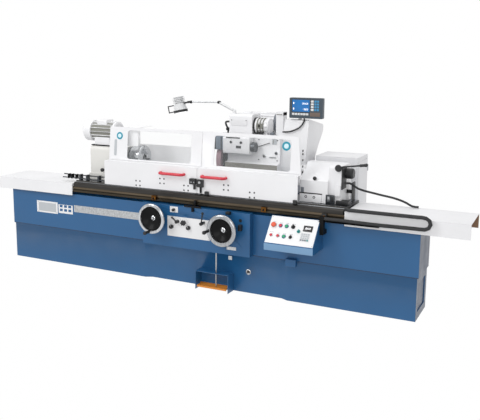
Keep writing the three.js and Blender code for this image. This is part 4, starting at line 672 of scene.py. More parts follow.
class GRINDER_OT_hoses(bpy.types.Operator):
    """Hose loop before the right cover with its tray, tailstock hose and readout cable"""

    bl_idname = "grinder.hoses"
    bl_label = "Hoses and cable"
    bl_options = {"REGISTER", "UNDO"}

    def execute(self, context):
        for node in ("conduit_loop", "tailstock_hose"):
            dressed(node, "rubber_hose", angle=60.0)
        self.tray()
        self.cable()
        return {"FINISHED"}

    def tray(self):
        """Folded sheet, 2 mm thick, that carries the loop's upper run."""
        left, right, back, foot, sheet = 1.284, 1.72, -0.3225, 0.7275, 0.002
        kit = Kit("hose_tray")
        kit.slabs(
            ((left, back - sheet, foot), (right, back, 0.756), "steel_black", 0.0005),
            ((left, -0.358, foot), (right, back, foot + 0.0023), "steel_black", 0.0005),
        )
        kit.done("bed", "black_hose")

    def cable(self):
        """From the readout's foot down and to the left, in front of the belt guard, to the wheel head."""
        route = [
            (0.855, 0.318, 1.478), (0.854, 0.309, 1.445), (0.82, 0.291, 1.395),
            (0.74, 0.283, 1.358), (0.667, 0.281, 1.35),
        ]
        path = eased(route, 8)
        kit = Kit("readout_cable").pipe(path, sizes().cable_radius, "rubber_hose", 10)
        cable = kit.done(None, "black_hose")
        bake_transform(cable)


class GRINDER_OT_bed(bpy.types.Operator):
    """Bed, front control casting and what is fixed to them"""

    bl_idname = "grinder.bed"
    bl_label = "Bed"
    bl_options = {"REGISTER", "UNDO"}

    def execute(self, context):
        # The bed's right end is navy: painted shade on that face
        painted_shade_end = where("enamel_navy", lambda c, n: n.x > 0.3 and c.x > 1.95)
        dressed("bed_casting", "enamel_blue", parts=painted_shade_end)
        dressed("apron_casting", "enamel_blue")
        dressed("table_cylinder", "steel_ground")
        kit = Kit("bed_plates")
        self.plates(kit, front(0, BED_FRONT, 0))
        self.apron_details(kit, front(0, APRON_FRONT, 0))
        # Box of the console's cable, under the console
        kit.slab((0.95, BED_FRONT - 0.045, 0.312), (1.04, BED_FRONT, 0.372), "enamel_blue", edge=0.004)
        kit.done("bed", "white_enamel")
        return {"FINISHED"}

    def plates(self, kit, face):
        # Navy strip where the upper panel stands out over the plinth: painted shade under the ledge
        kit.plate(-2.018, 0.347, 4.036, 0.0055, "enamel_navy", face, 0.0005, 0)
        # Two pale plates and a long silver strip: left, foot, width, height
        left, foot, width, height = -1.712, 0.49, 0.26, 0.115
        kit.plate(left, foot, width, height, "film_pale", face)
        kit.plate(-1.442, 0.504, 0.174, 0.086, "film_pale", face)
        kit.plate(-1.252, 0.532, 0.754, 0.067, "foil_silver", face)
        # Plain marks on the two plates: a silver field and six blue squares, 52 mm apart
        kit.plate(-1.69, 0.505, 0.218, 0.085, "abs_silver", face, PLATE + FIGURE, 0, PLATE)
        for column in range(3):
            for z in (0.562, 0.524):
                kit.plate(-1.425 + 0.052 * column, z, 0.035, 0.025, "enamel_blue", face, 0.0019, 0, PLATE)
        insets = [(left + x, foot + z) for x in (0.02, width - 0.02) for z in (0.01, height - 0.01)]
        places = [face @ Matrix.Translation((x, z, PLATE)) for x, z in insets]
        kit.screws(places, "steel_ground", 0.004, 0.002)
        # Oil sight on the plinth: a square plate, and a turned bezel round a dark glass
        kit.plate(0.409, 0.283, 0.034, 0.034, "foil_silver", face, 0.003)
        sight = front(0.6, BED_FRONT, 0.2)
        bezel = [(0, 0), (0.024, 0), (0.024, 0.006), (0.018, 0.009), (0.014, 0.006), (0, 0.006)]
        kit.lathe(bezel, "steel_turned", sight, 28)
        kit.disc(0.0135, 0.0075, "glass_smoked", sight, 24, 0.0062)

    def apron_details(self, kit, face):
        kit.plate(0.425, 0.392, 0.09, 0.028, "foil_silver", face)
        kit.disc(0.014, 0.003, "abs_black", front(0.553, APRON_FRONT, 0.656))
        # Three black blocks, 40 mm deep: left, foot, width, height
        for block in (
            (0.43, 0.702, 0.038, 0.024),
            (0.546, 0.574, 0.028, 0.052),
            (0.383, 0.42, 0.048, 0.024),
        ):
            kit.plate(*block, "abs_black", face, 0.04, 0.006)


class GRINDER_OT_hydraulics(bpy.types.Operator):
    """White control plate with its throttle, dwell and start levers, and the reversing lever"""

    bl_idname = "grinder.hydraulics"
    bl_label = "Hydraulic controls"
    bl_options = {"REGISTER", "UNDO"}

    depth = 0.0016

    def execute(self, context):
        kit = Kit("control_plate")
        face = front(0, APRON_FRONT, 0)
        kit.plate(-0.16, 0.446, 0.422, 0.179, "film_pale", face, self.depth)
        kit.plate(-0.133, 0.661, 0.081, 0.052, "film_pale", face, self.depth)
        for x, z in ((-0.116, 0.531), (0.056, 0.538)):
            self.small_knob(kit, front(x, APRON_FRONT, z))
        # Pull knob on the upper plate: a stem with a rounded cap
        stem, foot, tip = 0.012, self.depth, 0.032
        knob = [(0, foot), (stem, foot), (stem, 0.02), (0.014, 0.024), (0.008, tip), (0, tip)]
        kit.lathe(knob, "abs_black", front(-0.09, APRON_FRONT, 0.686), 24)
        # Dial marks round the throttle and the dwell lever, over the degrees that each turns
        self.dial(kit, 0.02, 0.584, 150)
        self.dial(kit, -0.052, 0.585, 70)
        insets = [(x, z) for x in (-0.152, 0.254) for z in (0.454, 0.617)]
        kit.screws([front(x, APRON_FRONT - self.depth, z) for x, z in insets], "steel_ground", 0.0035, 0.002)
        kit.done("bed", "white_enamel")
        for node in ("start_lever", "throttle_knob", "dwell_knob"):
            dressed(node, "abs_black", angle=40.0)
        dressed("reversing_lever", "steel_black", angle=40.0)
        return {"FINISHED"}

    def small_knob(self, kit, at):
        """A black knob with a pointer on a foil ring."""
        ring, top = 0.004, 0.026
        kit.boss(0.021, self.depth, ring, "foil_silver", at, steps=28)
        kit.boss(0.018, ring, top, "abs_black", at, 0.003, 0.006, 28)
        kit.plate(-0.0015, 0.004, 0.003, 0.013, "film_pale", at, top + 0.0008, 0.0003, top)

    def dial(self, kit, x, z, reach, marks=11):
        for i in range(marks):
            turn = math.radians(reach * (2 * i / (marks - 1) - 1))
            at = front(x, APRON_FRONT - self.depth, z) @ Matrix.Rotation(turn, 4, "Z")
            kit.plate(-0.0006, 0.03, 0.0012, 0.006, "abs_black", at, 0.0005, 0)


class GRINDER_OT_handwheels(bpy.types.Operator):
    """Traverse and infeed handwheels: polished rim, black dish, bright hub and a turning grip"""

    bl_idname = "grinder.handwheels"
    bl_label = "Handwheels"
    bl_options = {"REGISTER", "UNDO"}

    # The rim's middle stands this far from the casting, and the hub's boss this far
    stand, hub_foot = 0.1, 0.058

    def execute(self, context):
        self.wheel("traverse_handwheel", "traverse_wheel", ring=0.026, depth=0.024, turn=-1.65)
        self.wheel("infeed_handwheel", "infeed_wheel", ring=0.036, depth=0.03, turn=3.22, marks=80)
        return {"FINISHED"}

    def wheel(self, node, body, ring, depth, turn, marks=0):
        """A wheel with a rim of the ring's width and depth, its grip at the turn, and graduation marks."""
        lowest, highest = corners(node)
        middle, radius = (lowest + highest) / 2, (highest.x - lowest.x) / 2
        axis = front(middle.x, APRON_FRONT, middle.z)
        kit = Kit(node + "_made")
        self.rim(kit, axis, radius, ring, depth, "steel_turned" if marks else "steel_polished")
        self.dish(kit, axis, radius - ring, self.stand - depth / 2)
        self.graduation(kit, axis @ Matrix.Translation((0, 0, self.stand + depth / 2)), radius - ring, marks)
        reach = radius - 0.022
        self.grip(kit, axis @ Matrix.Translation((math.cos(turn) * reach, math.sin(turn) * reach, 0)))
        kit.done(body, "wheel_alloy", [node], 40.0)

    def rim(self, kit, axis, radius, ring, depth, finish):
        half, inner = depth / 2, radius - ring
        low, high = self.stand - half, self.stand + half
        # Shoulders of the rim's outer bead, as shares of its width and depth
        flat, curve = radius - ring * 0.35, radius - ring * 0.1
        profile = [
            (inner, low), (flat, low), (curve, low + half * 0.3), (radius, self.stand - half * 0.25),
            (radius, self.stand + half * 0.25), (curve, high - half * 0.3), (flat, high),
            (inner + 0.003, high), (inner, high - 0.003), (inner, low),
        ]
        kit.lathe(profile, finish, axis, 72)

    def dish(self, kit, axis, inner, low):
        """The web, which is dished back to the hub, and the bright hub with its nut."""
        back, hub, bore = low + 0.003, 0.034, 0.02
        profile = [
            (inner + 0.001, back + 0.008), (inner * 0.9, back + 0.008), (inner * 0.86, back + 0.004),
            (inner * 0.5, 0.078), (hub, 0.0675), (bore, 0.0675), (bore, self.hub_foot), (hub, self.hub_foot),
            (inner * 0.5, 0.069), (inner * 0.86, back - 0.004), (inner + 0.001, back - 0.001),
            (inner + 0.001, back + 0.008),
        ]
        kit.lathe(profile, "enamel_black", axis, 72)
        shaft, boss, nut = 0.015, 0.022, 0.014
        profile = [
            (0, -0.02), (shaft, -0.02), (shaft, self.hub_foot), (boss, self.hub_foot), (boss, 0.072),
            (nut, 0.076), (nut, 0.079), (0.011, 0.084), (0.006, 0.084), (0.006, 0.08), (0, 0.08),
        ]
        kit.lathe(profile, "steel_polished", axis, 32)

    def graduation(self, kit, face, inner, marks):
        """Marks round the ring, longer at every fifth and tenth, with a number at each tenth."""
        for i in range(marks):
            length = 0.012 if i % 10 == 0 else 0.009 if i % 5 == 0 else 0.006
            spoke = face @ Matrix.Rotation(2 * math.pi * i / marks, 4, "Z")
            at = spoke @ Matrix.Translation((0, inner + 0.003, 0))
            kit.plate(-0.0005, 0, 0.001, length, "abs_black", at, 0.0004, 0)
            if i % 10 == 0:
                number = at @ Matrix.Translation((0.002, 0.007, 0))
                kit.digits(str(i // 10), 0.006, "abs_black", number, 0.0004)

    def grip(self, kit, at):
        """A bright pin and a waisted black grip that turns on it."""
        kit.boss(0.0075, 0.095, 0.128, "steel_polished", at, steps=16)
        profile = [
            (0, 0.126), (0.014, 0.126), (0.0125, 0.14), (0.012, 0.155), (0.0165, 0.186),
            (0.0162, 0.196), (0.011, 0.203), (0, 0.204),
        ]
        kit.lathe(profile, "abs_black", at, 24)


class GRINDER_OT_console(bpy.types.Operator):
    """Sloping console with its pale plate, buttons, selectors, display and keys"""

    bl_idname = "grinder.console"
    bl_label = "Console"
    bl_options = {"REGISTER", "UNDO"}

    # Columns of the buttons, and the heights of their two rows up the slope
    columns, upper, lower = (0.042, 0.1, 0.152, 0.208), 0.168, 0.076
    bezel_top = 0.0045

    def execute(self, context):
        dressed("console_box", "enamel_blue", parts=self.shell)
        for node, finish in (
            ("emergency_stop", "abs_orange"), ("hydraulic_start", "abs_green"), ("hydraulic_stop", "abs_red"),
            ("wheel_start", "abs_green"), ("mode_selector", "abs_black"),
        ):
            dressed(node, finish, angle=40.0)
        kit = Kit("console_plate")
        kit.plate(0.004, 0.008, 0.405, 0.244, "film_pale", self.at(0, 0))
        self.buttons(kit)
        self.display_and_keys(kit)
        insets = [(x, up) for x in (0.014, 0.399) for up in (0.018, 0.242)]
        kit.screws([self.at(x, up, PLATE) for x, up in insets], "steel_ground", 0.0035, 0.002)
        kit.done("bed", "white_enamel")
        return {"FINISHED"}

    def shell(self, centre, normal):
        """The right end is black, and the lip is a paler blue: a painted highlight."""
        if centre.x > CONSOLE_EDGE.x + CONSOLE_WIDTH + 0.0005:
            return "enamel_black"
        return "enamel_sky" if normal.y < -0.9 and centre.y < -0.5 else None

    def at(self, x, up, out=0.0):
        """A frame on the sloping face."""
        return plane(CONSOLE_EDGE, X, CONSOLE_UP) @ Matrix.Translation((x, up, out))

    def buttons(self, kit):
        for column, x in enumerate(self.columns):
            for up in (self.upper, self.lower):
                stop, lamp = (column, up) == (0, self.upper), (column, up) == (2, self.lower)
                radius, rim = 0.0225 if stop else 0.0155, "film_jade" if lamp else "foil_silver"
                kit.boss(radius, PLATE, self.bezel_top, rim, self.at(x, up), 0.002, 0.0015, 28)
                # Bare caption plate over the button, a little higher in the first column
                caption = self.at(x, up + (0.004 if column == 0 else 0))
                kit.plate(-0.013, 0.021, 0.026, 0.007, "foil_silver", caption, 0.0022, 0.0003, PLATE)
        for x in self.columns[:2]:
            kit.boss(0.011, self.bezel_top, 0.0125, "abs_red", self.at(x, self.lower), 0.002, 0.0025)
        # Two selectors with their bars turned to the right
        for x, up, finish in ((self.columns[3], self.lower, "abs_black"), (0.262, 0.134, "abs_teal")):
            kit.boss(0.014, PLATE, 0.009, finish, self.at(x, up), 0.002, 0.003)
            bar = self.at(x, up) @ Matrix.Rotation(-0.5, 4, "Z")
            kit.plate(-0.004, -0.013, 0.008, 0.026, finish, bar, 0.021, 0.002, 0.009)

    def display_and_keys(self, kit):
        """A small frequency display over a pad of sixteen keys."""
        display, pad, pitch, rise = self.at(0.334, 0.166), self.at(0.325, 0.092), 0.018, 0.0175
        kit.plate(-0.038, -0.026, 0.076, 0.052, "abs_black", display, 0.005, 0.003, PLATE)
        kit.plate(-0.031, -0.013, 0.062, 0.029, "glass_smoked", display, 0.0056, 0.001, 0.005)
        kit.digits("0.000", 0.015, "lens_frosted", self.at(0.314, 0.1595, 0.0056), 0.0004)
        kit.plate(-0.04, -0.04, 0.08, 0.074, "abs_pale", pad, 0.0035, 0.003, PLATE)
        for column in range(4):
            for row in range(4):
                finish = "abs_teal" if (column, row) == (3, 0) else "abs_grey" if row == 0 else "abs_silver"
                key = self.at(0.298 + pitch * column, 0.063 + rise * row)
                kit.plate(-0.007, -0.006, 0.014, 0.012, finish, key, 0.006, 0.0015, 0.0035)


class GRINDER_OT_pedal(bpy.types.Operator):
    """Foot pedal, its guard and the pull rod"""

    bl_idname = "grinder.pedal"
    bl_label = "Pedal"
    bl_options = {"REGISTER", "UNDO"}

    def execute(self, context):
        dressed("pedal_guard", "enamel_blue")
        dressed("foot_pedal", "enamel_orange")
        dressed("pedal_rod", "steel_ground")
        return {"FINISHED"}


class GRINDER_OT_tables(bpy.types.Operator):
    """Lower and upper tables, trip dogs, way covers"""

    bl_idname = "grinder.tables"
    bl_label = "Tables and covers"
    bl_options = {"REGISTER", "UNDO"}

    def execute(self, context):
        # The inner faces of the lower table's groove are black: painted shade in the groove
        groove_painted_shade = where("steel_black", lambda c, n: n.y > -0.9 and c.y < -0.27 and 0.75 < c.z < 0.77)
        dressed("lower_table", "iron_brown", parts=groove_painted_shade)
        dressed("upper_table", "iron_dark", parts=where("iron_top", lambda c, n: n.z > 0.9))
        dressed("piston_rod", "steel_ground")
        # Tan strip between the two tables: a painted highlight along the lower table's edge
        strip = Kit("table_edge_painted_highlight")
        strip.slab((-1.24, TABLE_FRONT - 0.0003, 0.7665), (1.429, TABLE_FRONT, 0.782), "iron_tan", edge=0)
        strip.done("travelling_table", "ground_iron")
        dressed("left_way_cover", "enamel_white")
        dressed("right_way_cover", "enamel_white", parts=where("enamel_rust", self.inside_cover))
        for node in ("trip_dog_left", "trip_dog_right"):
            dressed(node, "brass_machined", parts=where("steel_black", lambda c, n: c.y < -0.3082))
        self.fittings()
        self.clamp()
        return {"FINISHED"}

    def inside_cover(self, centre, normal):
        """Faces between the cover's front and back sheets: its ceiling and its inner walls."""
        ceiling, wall = normal.z < -0.5 and centre.z > 0.79, abs(normal.y) > 0.9
        return -0.2985 < centre.y < 0.1285 and (ceiling or wall)

    def fittings(self):
        """Stop blocks on the upper table's front, the wiper at its end and the rods beside the left door."""
        kit = Kit("table_fittings")
        for x in (0.198, 1.011):
            block = (x - 0.016, TABLE_FRONT + 0.002, TABLE_TOP), (x + 0.016, TABLE_FRONT + 0.026, 0.862)
            kit.slab(*block, "abs_black", edge=0.003)
        kit.slab((1.42, -0.285, 0.79), (1.4215, 0.145, 0.829), "abs_black", edge=0.0005)
        for y, z in ((-0.205, 0.885), (-0.226, 0.857)):
            kit.pipe([(-1.41, y, z), (-0.92, y, z)], 0.0055, "steel_dark")
        # Posts that carry the rods, and the collars that slide on them
        for x in (-1.2, -1.12, -0.985):
            kit.slab((x - 0.01, -0.236, TABLE_TOP), (x + 0.01, -0.194, 0.897), "steel_dark", edge=0.003)
        for x in (-1.34, -1.3, -1.25):
            kit.slab((x - 0.007, -0.235, 0.849), (x + 0.007, -0.197, 0.893), "steel_black", edge=0.003)
        kit.done("swivel_table", "black_plastic")

    def clamp(self):
        """Black block with a bronze screw at the right end of the lower table."""
        front_face = TABLE_FRONT - 0.024
        kit = Kit("table_clamp")
        kit.slab((1.25, front_face, 0.744), (1.292, TABLE_FRONT, 0.784), "abs_black", edge=0.005)
        kit.disc(0.008, 0.006, "brass_machined", front(1.271, front_face, 0.764))
        kit.done("travelling_table", "black_plastic")


class GRINDER_OT_doors(bpy.types.Operator):
    """Sliding doors, windows, handles and the interlock"""

    bl_idname = "grinder.doors"
    bl_label = "Doors"
    bl_options = {"REGISTER", "UNDO"}

    def execute(self, context):
        for which in ("left", "right"):
            rollers = where("abs_black", lambda c, n: c.z < 0.88 and c.y > -0.2555)
            dressed(which + "_door", "enamel_white", parts=rollers)
            dressed(which + "_window", "pane_clear")
            dressed(which + "_door_handle", "abs_red", angle=50.0)
        dressed("door_interlock", "abs_black")
        self.left_fittings()
        self.right_fittings()
        return {"FINISHED"}

    def left_fittings(self):
        kit = Kit("left_door_fittings")
        self.dots(kit, (-0.519, 0.873), (-0.263, 0.913), (-0.016, 0.871))
        self.mark(kit, -0.78, 0.034, 0.019)
        # Upright slot cover: two half rounds joined by straight sides
        radius, half = 0.014, 0.062
        turns = [math.pi * (i + 0.5) / 8 for i in range(16)]
        round_end = [(radius * math.cos(a), radius * math.sin(a)) for a in turns]
        outline = [(x, y + math.copysign(half, y)) for x, y in round_end]
        kit.sheet(outline, 0.0012, "abs_silver", lean(-0.822, 1.173))
        # Two bright screw heads on the interlock
        head = [(0.006, 0.0005), (0.006, 0.004), (0, 0.004)]
        for x in (0.052, 0.078):
            kit.lathe(head, "steel_ground", front(x, -0.286, 0.933), 16)
        kit.done("door_left", "black_plastic")

    def right_fittings(self):
        """Hinge screws, the disc, the interlock's other half and the seals at the right edge."""
        box_front = DOOR_FRONT - 0.024
        kit = Kit("right_door_fittings")
        self.dots(kit, (0.376, 0.909), (0.62, 0.866))
        self.mark(kit, 0.882, 0.038, 0.021, 0.0005)
        kit.slab((0.1, box_front, 0.893), (0.163, DOOR_FRONT, 0.96), "abs_black", edge=0.004)
        kit.boss(0.011, 0, 0.004, "foil_silver", front(0.131, box_front, 0.935), steps=20)
        kit.slab((0.126, DOOR_FRONT - 0.012, 0.84), (0.142, DOOR_FRONT, 0.896), "steel_black", edge=0.002)
        for z in (1.253, 1.227, 1.176, 1.124, 1.077):
            kit.slab((1.0255, -0.172, z - 0.009), (1.03, -0.152, z + 0.009), "abs_black", edge=0.001)
        kit.done("door_right", "black_plastic")

    def mark(self, kit, x, outer, inner, out=0.0):
        """Plain teal disc with a pale middle, on the leaning panel."""
        kit.disc(outer, 0.0015, "film_teal", lean(x, 1.283, out), 40)
        kit.disc(inner, 0.0018, "film_sky", lean(x, 1.283, out), 40, 0.0012)

    def dots(self, kit, *groups):
        """Four small screws of a hinge plate behind the sheet, 42 mm apart."""
        half = 0.021
        places = [(x + dx, z + dz) for x, z in groups for dx in (-half, half) for dz in (-half, half)]
        kit.screws([front(x, DOOR_FRONT, z) for x, z in places], "abs_black", sizes().screw_radius, 0.003)


class GRINDER_OT_workhead(bpy.types.Operator):
    """Work head, its motor, the chuck and the jaws"""

    bl_idname = "grinder.workhead"
    bl_label = "Work head"
    bl_options = {"REGISTER", "UNDO"}

    def execute(self, context):
        dressed("workhead_housing", "enamel_warm")
        dressed("workhead_motor", "enamel_white", parts=where("enamel_shadow", self.between_ribs))
        # The chuck's back, towards the head, is dark steel: painted shade
        dressed("chuck_body", "steel_polished", parts=where("steel_dark", lambda c, n: c.x < -0.712))
        for i in (1, 2, 3):
            dressed(f"chuck_jaw_{i}", "steel_ground")
        kit = Kit("workhead_fittings")
        # Motor's foot plate, and the knob on the housing's front
        kit.slab((-1.165, -0.09, 1.1652), (-0.9, 0.1, 1.174), "steel_black", edge=0.002)
        stem, cap, tip = 0.012, 0.018, 0.033
        knob = [(0, 0), (stem, 0), (stem, 0.012), (cap, 0.016), (cap, 0.028), (stem, tip), (0, tip)]
        kit.lathe(knob, "abs_black", front(-1.0, -0.125, 0.942), 24)
        self.hood(kit)
        kit.done("swivel_table", "white_enamel")
        return {"FINISHED"}

    def between_ribs(self, centre, normal):
        """The floor between the motor's ribs, which lies 88 mm from its axis."""
        axis_z, floor, start, end = 1.3, 0.088, -1.19, -0.92
        near = abs(math.hypot(centre.y, centre.z - axis_z) - floor) < 0.004
        return start < centre.x < end and near and abs(normal.x) < 0.5

    def hood(self, kit):
        """Folded sheet over the chuck: front, roof, back strip and the front's foot, in a brighter white that
        is painted light on the shaded hood.
        """
        left, right, near, far, roof, sheet = -0.765, -0.6, -0.124, 0.12, 1.36, 0.002
        kit.slabs(
            ((left, near, 1.19), (right, near + sheet, roof), "enamel_bright", 0.0005),
            ((left, near, roof - sheet), (right, far, roof), "enamel_bright", 0.0005),
            ((left, far - sheet, 1.1), (left + 0.025, far, roof), "enamel_bright", 0.0005),
            ((left, near, 1.1), (left + 0.02, near + sheet, 1.2), "enamel_bright", 0.0005),
        )


class GRINDER_OT_tailstock(bpy.types.Operator):
    """Tailstock, quill and clamping lever"""

    bl_idname = "grinder.tailstock"
    bl_label = "Tailstock"
    bl_options = {"REGISTER", "UNDO"}

    # Front of the small fittings, which the right door slides past
    limit = -0.1464

    def execute(self, context):
        dressed("tailstock_housing", "enamel_white", parts=where("abs_black", lambda c, n: c.x > 1.3455))
        dressed("tailstock_quill", "steel_turned", angle=40.0)
        dressed("tailstock_lever", "abs_black", angle=40.0)
        hub = Kit("lever_hub")
        profile = [(0, 0.001), (0.027, 0.001), (0.029, 0.005), (0.027, 0.012), (0, 0.012)]
        hub.lathe(profile, "abs_black", front(1.322, -0.13, 1.127), 32)
        hub.done("quill_lever", "black_plastic")
        kit = Kit("tailstock_fittings")
        stem, cap, tip = 0.008, 0.016, 0.02
        knob = [(0, 0), (stem, 0), (stem, 0.006), (cap, 0.01), (cap, 0.016), (0.01, tip), (0, tip)]
        kit.lathe(knob, "abs_black", front(1.126, -0.125, 1.03), 24)
        kit.slabs(
            # Clamping strip with its dark edge and a grey stop
            ((1.0, -0.1455, TABLE_TOP), (1.19, -0.138, 0.9), "enamel_white", 0.002),
            ((0.998, -0.1462, 0.9), (1.192, -0.138, 0.908), "steel_black", 0.001),
            ((1.01, -0.1455, 0.908), (1.035, -0.138, 0.95), "abs_grey", 0.002),
            # Dark plate with a bright and a black bar
            ((1.225, -0.1458, TABLE_TOP), (1.3, -0.137, 0.905), "steel_dark", 0.002),
            ((1.24, self.limit, 0.85), (1.258, -0.14, 0.892), "steel_ground", 0.001),
            ((1.275, self.limit, 0.85), (1.29, -0.14, 0.892), "abs_black", 0.001),
            # Foot block and white cover at the right end, with the black seals behind them
            ((1.31, self.limit, TABLE_TOP), (1.412, -0.06, 0.862), "abs_black", 0.006),
            ((1.30, self.limit, 0.9), (1.344, -0.12, 0.985), "enamel_white", 0.004),
            ((1.346, -0.12, 0.95), (1.352, 0.0, 1.13), "abs_black", 0.002),
            ((1.392, 0.02, TABLE_TOP), (1.397, 0.1, 0.992), "rubber_hose", 0.002),
            ((1.346, 0.03, 0.9), (1.396, 0.04, 0.93), "steel_black", 0.002),
        )
        for x in (1.055, 1.125):
            kit.socket_screw(0.011, 0.006, front(x, -0.1412, 0.874), 20)
        kit.done("swivel_table", "black_plastic")
        return {"FINISHED"}


class GRINDER_OT_wheelhead(bpy.types.Operator):
    """Wheel head, its guards and motors, the grinding wheel and the coolant pipe"""

    bl_idname = "grinder.wheelhead"
    bl_label = "Wheel head"
    bl_options = {"REGISTER", "UNDO"}

    # Axes of the wheel motor and the internal motor (Y, Z), the housing's front and the box over it
    motor_axis, small_axis = (0.545, 1.404), (0.3205, 1.3925)
    housing_front, box_front = 0.23, 0.235

    def execute(self, context):
        dressed("wheelhead_slide", "enamel_white")
        # The housing's lower band is grey: painted shade where the doors shade it
        lower_band_painted_shade = where("enamel_band", lambda c, n: c.y < 0.2 and c.z < 1.08)
        dressed("wheelhead_housing", "enamel_white", parts=lower_band_painted_shade)
        dressed("wheel_guard", "enamel_guard")
        dressed("belt_guard", "enamel_white")
        dressed("wheel_motor", "enamel_white", parts=self.motor_parts)
        dressed("internal_motor", "enamel_white", parts=where("abs_black", lambda c, n: n.x < -0.9))
        dressed("grinding_wheel", "abrasive_pink")
        dressed("wheel_spindle", "steel_turned")
        dressed("coolant_pipe", "abs_black", angle=50.0)
        kit = Kit("head_fittings")
        self.guard_cover(kit)
        self.front_details(kit)
        self.internal_motor(kit)
        # End bell of the wheel motor
        bell = side(0.53, *self.motor_axis)
        kit.lathe([(0.062, 0), (0.085, 0), (0.085, 0.008), (0.062, 0.012), (0.062, 0)], "film_pale", bell, 44)
        kit.lathe([(0, 0), (0.056, 0), (0.05, 0.006), (0.02, 0.01), (0, 0.01)], "abs_grey", bell, 36)
        # Cap of the post beside the motor
        kit.slab((0.592, 0.297, 1.49), (0.664, 0.39, 1.524), "enamel_cabinet", edge=0.004)
        kit.slab((0.6, 0.2955, 1.5), (0.655, 0.2975, 1.506), "enamel_shadow", edge=0)
        kit.done("wheelhead", "white_enamel")
        return {"FINISHED"}

    def motor_parts(self, centre, normal):
        """Grey end shield, dark fan end, and shade between the ribs."""
        if centre.x > 0.505:
            return "abs_grey"
        if centre.x < 0.2:
            return "steel_dark"
        deep = math.hypot(centre.y - self.motor_axis[0], centre.z - self.motor_axis[1]) < 0.082
        return "enamel_shadow" if 0.2 < centre.x < 0.5 and deep and abs(normal.x) < 0.5 else None

    def guard_cover(self, kit):
        """Sheet cover over the top of the wheel guard, its dark side strip and two black seals."""
        kit.slab((0.022, 0.166, 1.17), (0.148, 0.19, 1.298), "enamel_guard", edge=0.004)
        kit.slab((0.126, 0.168, 0.87), (0.149, 0.19, 1.165), "enamel_black", edge=0.003)
        for x in (0.05, 0.112):
            kit.slab((x - 0.005, 0.164, 1.176), (x + 0.005, 0.167, 1.292), "abs_black", edge=0.001)

    def front_details(self, kit):
        """Lever, plates and knobs on the housing's front, and the plate, catch and cap above them."""
        kit.pipe([(0.455, 0.222, 1.211), (0.568, 0.222, 1.251)], 0.003, "steel_black", 10)
        face = front(0, self.housing_front, 0)
        kit.plate(0.59, 1.24, 0.044, 0.051, "abs_silver", face, 0.004)
        kit.plate(0.6, 1.25, 0.006, 0.031, "enamel_shadow", face, 0.006, low=0.004)
        kit.plate(0.564, 1.114, 0.067, 0.014, "foil_silver", face, edge=0.0005)
        for x, z, radius, rim in ((0.515, 1.131, 0.016, "foil_silver"), (0.629, 1.162, 0.014, "abs_grey")):
            at = front(x, self.housing_front, z)
            kit.boss(radius, 0, 0.006, rim, at, radius * 0.2, 0.002, 28)
            kit.boss(radius * 0.62, 0.005, 0.018, "abs_black", at, radius * 0.17, 0.004)
        kit.plate(0.176, 1.392, 0.162, 0.057, "enamel_cabinet", front(0, self.box_front, 0), 0.003)
        places = [front(x, self.box_front - 0.003, 1.441) for x in (0.184, 0.33)]
        kit.screws(places, "steel_black", 0.004, 0.003)
        kit.slab((0.43, 0.238, 1.304), (0.492, 0.262, 1.342), "abs_black", edge=0.003)
        kit.boss(0.02, 0, 0.042, "abs_grey", top(0.572, 0.27, 1.3), 0.006, 0.008)
        insets = [(x, z) for x in (0.46, 0.64) for z in (1.095, 1.276)]
        kit.screws([front(x, self.housing_front, z) for x, z in insets], "steel_black", 0.006, 0.004)

    def internal_motor(self, kit):
        """Fan cover's ring, cooling gaps and terminal box of the internal spindle's motor."""
        shaft = side(0.39, *self.small_axis)
        kit.ring(0.03, 0.0735, -0.002, 0.016, "abs_black", shaft)
        for at in (0.034, 0.062, 0.09):
            kit.ring(0.06, 0.0728, at, at + 0.008, "enamel_shadow", shaft)
        kit.slab((0.432, 0.243, 1.375), (0.488, 0.262, 1.418), "enamel_shadow", edge=0.003)
        kit.slab((0.445, 0.24, 1.385), (0.462, 0.246, 1.41), "abs_black", edge=0.002)


class GRINDER_OT_bracket(bpy.types.Operator):
    """Folding internal grinding bracket and its spindle"""

    bl_idname = "grinder.bracket"
    bl_label = "Internal grinding bracket"
    bl_options = {"REGISTER", "UNDO"}

    def execute(self, context):
        dressed("internal_bracket", "enamel_white")
        dressed("internal_spindle", "steel_turned", parts=where("steel_dark", lambda c, n: c.x > 0.41))
        # Hinge gap and plate in black, and two cap screws on the bracket's front
        front_y = corners("internal_bracket")[0].y
        face = front(0, front_y, 0)
        kit = Kit("bracket_fittings")
        kit.plate(0.176, 1.284, 0.14, 0.012, "abs_black", face, edge=0.0005)
        kit.plate(0.277, 1.197, 0.05, 0.024, "abs_black", face, 0.003)
        for x in (0.226, 0.326):
            kit.socket_screw(0.012, 0.0075, front(x, front_y, 1.25))
        kit.done("bracket", "white_enamel")
        return {"FINISHED"}


